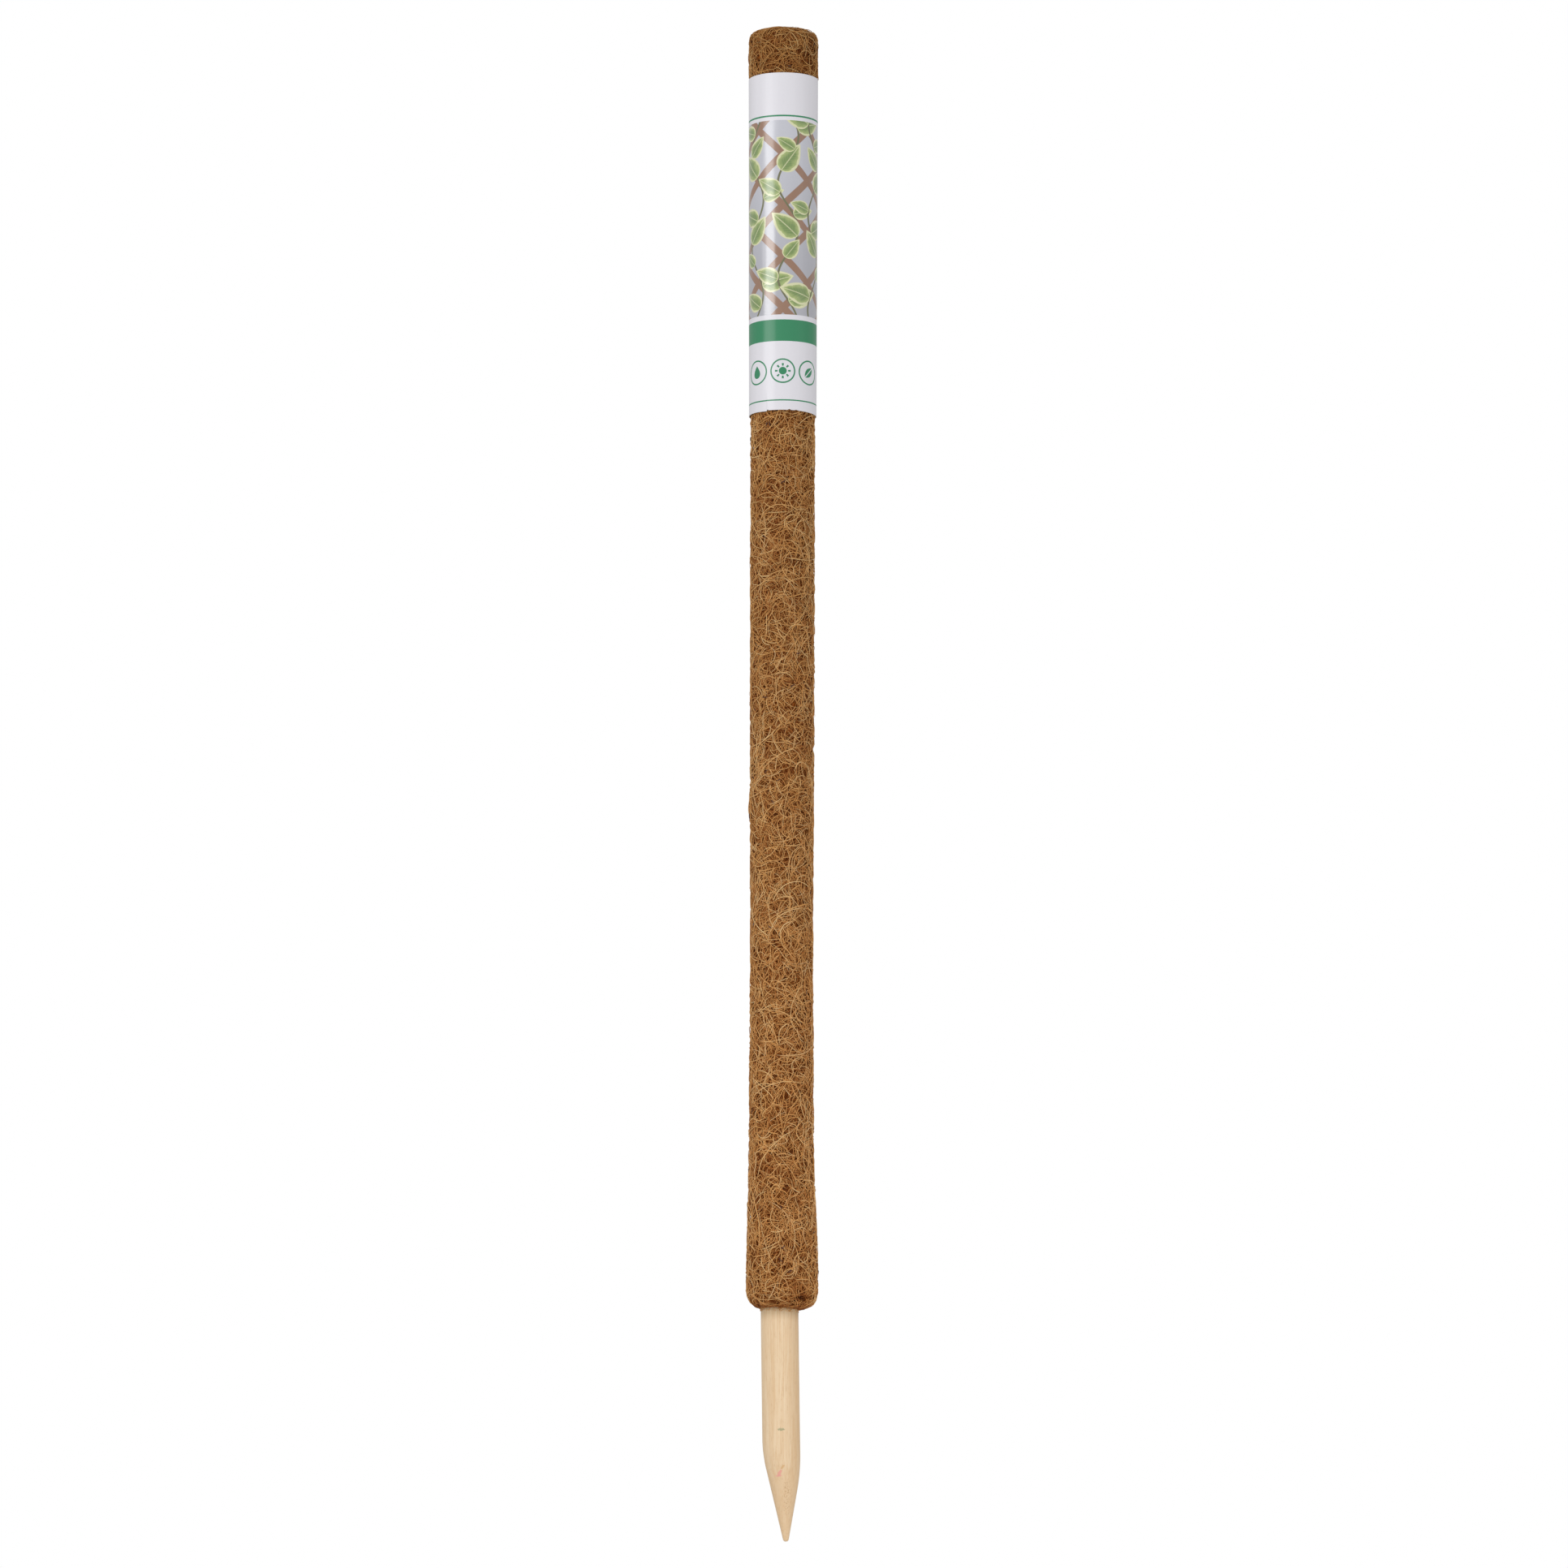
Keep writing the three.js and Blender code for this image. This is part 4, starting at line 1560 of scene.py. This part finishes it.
@dataclass
class LabelSleeve:
    """The printed card, rolled round the mat with its lap at the back."""

    base: float
    length: float
    bore: float
    wall: float = 0.3 * MM
    taper: float = 1.4 * MM
    lap: float = 12 * MM
    ramp: float = 5 * MM
    lap_gap: float = 0.4 * MM
    ripple: float = 0.08 * MM
    ripple_lift: float = 0.7
    broad_wave: Point = (2.3, 60 * MM, 3.1)
    fine_wave: Point = (7.0, 30 * MM, 8.7)
    fine_share: float = 0.7
    still_inner: float = 0.5
    still_outer: Pair = (0.8, 0.3)
    tear_angle: float = -0.47
    tear_length: float = 12 * MM
    tear_width: float = 0.028
    tear_lift: float = 0.2 * MM
    tear_waver: Pair = (0.02, 2.2 * MM)
    flap_width: float = 0.5
    worn_depth: float = 0.5 * MM
    worn_middle: float = -0.2
    worn_edge: Pair = (1.6, 0.2)
    worn_height: float = 6 * MM
    nicks: tuple[Nick, ...] = (
        Nick(tear_angle, 0.02, 0.7 * MM),
        Nick(0.2, 0.03, 0.6 * MM),
        Nick(0.42, 0.05, 0.35 * MM),
    )
    columns: int = 330
    rows: int = 96
    crisp_from: float = 40

    def build(self) -> bpy.types.Object:
        """Makes the card as one closed sheet, printed on its outer face.

        Returns:
            The sleeve.
        """
        lap_angle = self.lap / self.bore
        angles = [(2 * math.pi + lap_angle) * column / self.columns for column in range(self.columns + 1)]
        heights = [self.length * row / self.rows for row in range(self.rows + 1)]
        wide = len(angles)
        points = []
        spots = []
        for out in (self.wall, 0.0):
            for height in heights:
                for angle in angles:
                    points.append(self._card_point(angle, height, out))
                    arc = (angle - math.pi - lap_angle / 2) * self.bore
                    spots.append((0.5 + arc / PrintFinish.map_length, height / PrintFinish.map_length))
        under = wide * len(heights)
        printed = ring_faces(len(heights), wide, closed=False)
        faces = printed + [(under + a, under + d, under + c, under + b) for a, b, c, d in printed]
        top = self.rows * wide
        for column in range(self.columns):
            faces.append((column + 1, column, under + column, under + column + 1))
            faces.append((top + column, top + column + 1, under + top + column + 1, under + top + column))
        for row in range(self.rows):
            a, b = row * wide, (row + 1) * wide
            faces.append((a, b, under + b, under + a))
            a, b = a + wide - 1, b + wide - 1
            faces.append((b, a, under + a, under + b))
        slots = [0] * len(printed) + [1] * (len(faces) - len(printed))
        back = MottledFinish(
            "card_back", 0.7, pale=srgb(236, 234, 230), deep=srgb(214, 210, 202), scale=1600,
            edge=(0.35, 0.7), relief=(0.04 * MM, 0.5),
        )
        finishes = [PrintFinish("printed_card", 0.34).material(), back.material()]
        piece = mesh_piece("printed_sleeve", points, faces, finishes, slots, self.crisp_from)
        chart(piece, PRINT_MAP, [part for face in faces for corner in face for part in spots[corner]])
        return piece

    def _card_point(self, angle: float, height: float, out: float) -> Point:
        """A point of the rolled card.

        Args:
            angle: Round from its inner end.
            height: Up from its lower edge.
            out: Out from its inner face.

        Returns:
            The point.
        """
        lap_angle = self.lap / self.bore
        full = 2 * math.pi
        climb = smoothstep(angle, full - self.ramp / self.bore, full)
        radius = self.bore + climb * (self.wall + self.lap_gap) + out
        radius *= 1 + self.taper / 2 * height / self.length / self.bore
        front = angle - math.pi - lap_angle / 2
        loose = smoothstep(angle, lap_angle, lap_angle + self.still_inner)
        loose *= 1 - smoothstep(angle, full - self.still_outer[0], full - self.still_outer[1])
        broad, fine = (
            noise.noise(Vector((front * turn, height / rise, seed)))
            for turn, rise, seed in (self.broad_wave, self.fine_wave)
        )
        radius += self.ripple * loose * (self.ripple_lift + broad + self.fine_share * fine)
        sway, pace = self.tear_waver
        beside = front - self.tear_angle - sway * math.sin(height / pace)
        near_edge = 1 - smoothstep(height, 0.5 * self.tear_length, self.tear_length)
        radius += self.tear_lift * near_edge * math.exp(-((beside / self.tear_width) ** 2))
        flap = math.exp(-((beside / self.flap_width) ** 2)) if beside < 0 else 0.0
        worn = self.worn_depth * (1 - flap) * smoothstep(abs(front - self.worn_middle), *self.worn_edge)
        for nick in self.nicks:
            worn += nick.depth * math.exp(-(((front - nick.angle) / nick.width) ** 2))
        worn *= 1 - smoothstep(height, 0.0, self.worn_height)
        return around(radius, front, self.base + height + worn)


@dataclass(frozen=True)
class Softbox:
    """A soft rectangular light that faces the pole.

    Its bearing is in degrees round from the camera to the right, its distance is from the pole's axis, its
    height is that of its middle, its size is its width and height, and its power is in watts.
    """

    name: str
    bearing: float
    distance: float
    height: float
    size: Pair
    power: float

    def hang(self) -> None:
        """Puts the light in its place."""
        data = bpy.data.lights.new(self.name, "AREA")
        data.shape = "RECTANGLE"
        data.size, data.size_y = self.size
        data.energy = self.power
        light = new_object(self.name, data)
        light.location = around(self.distance, math.radians(self.bearing), self.height)
        towards = Vector((0, 0, self.height)) - light.location
        light.rotation_euler = towards.to_track_quat("-Z", "Y").to_euler()


@dataclass
class Studio:
    """The floor, the lights and the camera, which looks up at the pole a little from below."""

    aim: Point = (1.2 * MM, 0.0, 0.30938)
    distance: float = 4.2
    look_up: float = 8.0
    roll: float = 0.115
    lens: float = 163.2
    sensor: float = 36.0
    clip: Pair = (0.05, 200.0)
    floor_height: float = -1.5
    floor_side: float = 160.0
    ambient: float = 0.54
    softboxes: tuple[Softbox, ...] = (
        Softbox("key_softbox", bearing=-46, distance=1.5, height=0.89, size=(0.9, 0.24), power=6.0),
        Softbox("fill_softbox", bearing=62, distance=2.4, height=0.1, size=(1.2, 2.0), power=3.6),
        Softbox("low_softbox", bearing=10, distance=2.4, height=-0.12, size=(1.6, 0.6), power=12.2),
    )

    def build(self) -> None:
        """Sets up everything that isn't the object."""
        self._camera()
        self._floor()
        self._world()
        for softbox in self.softboxes:
            softbox.hang()
        bpy.context.scene.view_settings.view_transform = "Standard"

    def _camera(self) -> None:
        """Places the camera in front of the pole and below its middle."""
        data = bpy.data.cameras.new("camera")
        data.lens = self.lens
        data.sensor_width = self.sensor
        data.clip_start, data.clip_end = self.clip
        camera = new_object("camera", data)
        rise = math.radians(self.look_up)
        back = Vector((0, -math.cos(rise), -math.sin(rise)))
        camera.location = Vector(self.aim) + back * self.distance
        upright = (-back).to_track_quat("-Z", "Y")
        camera.rotation_euler = (upright @ Quaternion((0, 0, 1), math.radians(self.roll))).to_euler()
        bpy.context.scene.camera = camera

    def _floor(self) -> None:
        """Lays the floor."""
        half = self.floor_side / 2
        corners = [(-half, -half), (half, -half), (half, half), (-half, half)]
        points = [(x, y, self.floor_height) for x, y in corners]
        finish = FloorFinish("studio_floor", 0.8).material()
        mesh_piece("studio_floor", points, [(0, 1, 2, 3)], [finish])

    def _world(self) -> None:
        """A white surround, which lights the object less than it shows."""
        world = bpy.data.worlds.new("studio")
        bpy.context.scene.world = world
        world.use_nodes = True
        sheet = Sheet(world.node_tree)
        seen = sheet.add("ShaderNodeBackground", None, {"Color": (1, 1, 1, 1), "Strength": 1.0})
        lit = sheet.add("ShaderNodeBackground", None, {"Color": (1, 1, 1, 1), "Strength": self.ambient})
        ray = sheet.add("ShaderNodeLightPath", out="Is Camera Ray")
        both = sheet.add("ShaderNodeMixShader", None, {0: ray, 1: lit, 2: seen})
        sheet.add("ShaderNodeOutputWorld", None, {"Surface": both})


def dress(piece: bpy.types.Object, body: str, slot: str, *nodes: str) -> None:
    """Ties a finished piece to its body and hides the solids that it stands for.

    Args:
        piece: The piece.
        body: The body that it moves with.
        slot: Not used.
        nodes: The solids that it replaces.
    """
    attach(piece, body)
    if nodes:
        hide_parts(*nodes)
    LOG.info("%s: %d faces on %s", piece.name, len(piece.data.polygons), body)


def main() -> None:
    """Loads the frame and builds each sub-assembly in order."""
    logging.basicConfig(level=logging.INFO, format="%(message)s")
    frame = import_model()
    Studio().build()

    stake_low, stake_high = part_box("stake")
    _, mat_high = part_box("coir_mat")
    sleeve_low, sleeve_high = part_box("label_sleeve")
    staple_names = sorted(name for name in frame["nodes"] if name.startswith("seam_staple_"))
    first_low, first_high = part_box(staple_names[0])
    second_low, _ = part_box(staple_names[1])

    stake = Stake(radius=stake_high.x, tip_height=stake_low.z, top_height=stake_high.z)
    dress(stake.build(), "pole", "wood", "stake")

    staples = Staples(
        width=first_high.x - first_low.x,
        crown=first_high.y,
        wire=first_high.z - first_low.z,
        first=(first_low.z + first_high.z) / 2,
        pitch=second_low.z - first_low.z,
        count=len(staple_names),
    )
    profile = MatProfile(
        stake_radius=stake_high.x,
        length=mat_high.z + MatProfile.top_swell,
        sleeve_base=sleeve_low.z,
        sleeve_top=sleeve_high.z,
        bore=stake_high.x + MatProfile.bore_gap,
    )
    form = MatForm(
        first_staple=staples.first,
        staple_pitch=staples.pitch,
        crown_radius=staples.hold_radius(),
        bore=profile.bore,
        stake_bow=stake.bow,
        straight_low=stake.straight[0],
        straight_high=stake.straight[1],
    )
    mat = CoirMat(profile, form)
    felt = mat.build_felt()
    dress(felt, "pole", "coir", "coir_mat")
    for piece in mat.build_fibres(FibreFinish("coir_fibre", 0.6).material()):
        dress(piece, "pole", "coir")
    dress(staples.build(), "pole", "wire", *staple_names)

    bore = -sleeve_low.y - LabelSleeve.wall - LabelSleeve.taper / 2
    sleeve = LabelSleeve(base=sleeve_low.z, length=sleeve_high.z - sleeve_low.z, bore=bore)
    dress(sleeve.build(), "sleeve", "card", "label_sleeve")
    lap_tape = MottledFinish(
        "lap_tape", 0.6, pale=srgb(240, 236, 218), deep=srgb(226, 220, 196), scale=800,
        edge=(0.35, 0.65), relief=(0.05 * MM, 0.4),
    )
    tape = frame["nodes"]["sleeve_lap_tape"]
    tape.data.materials.clear()
    tape.data.materials.append(lap_tape.material())
    LOG.info("%s: dressed solid", tape.name)


if __name__ == "__main__":
    main()
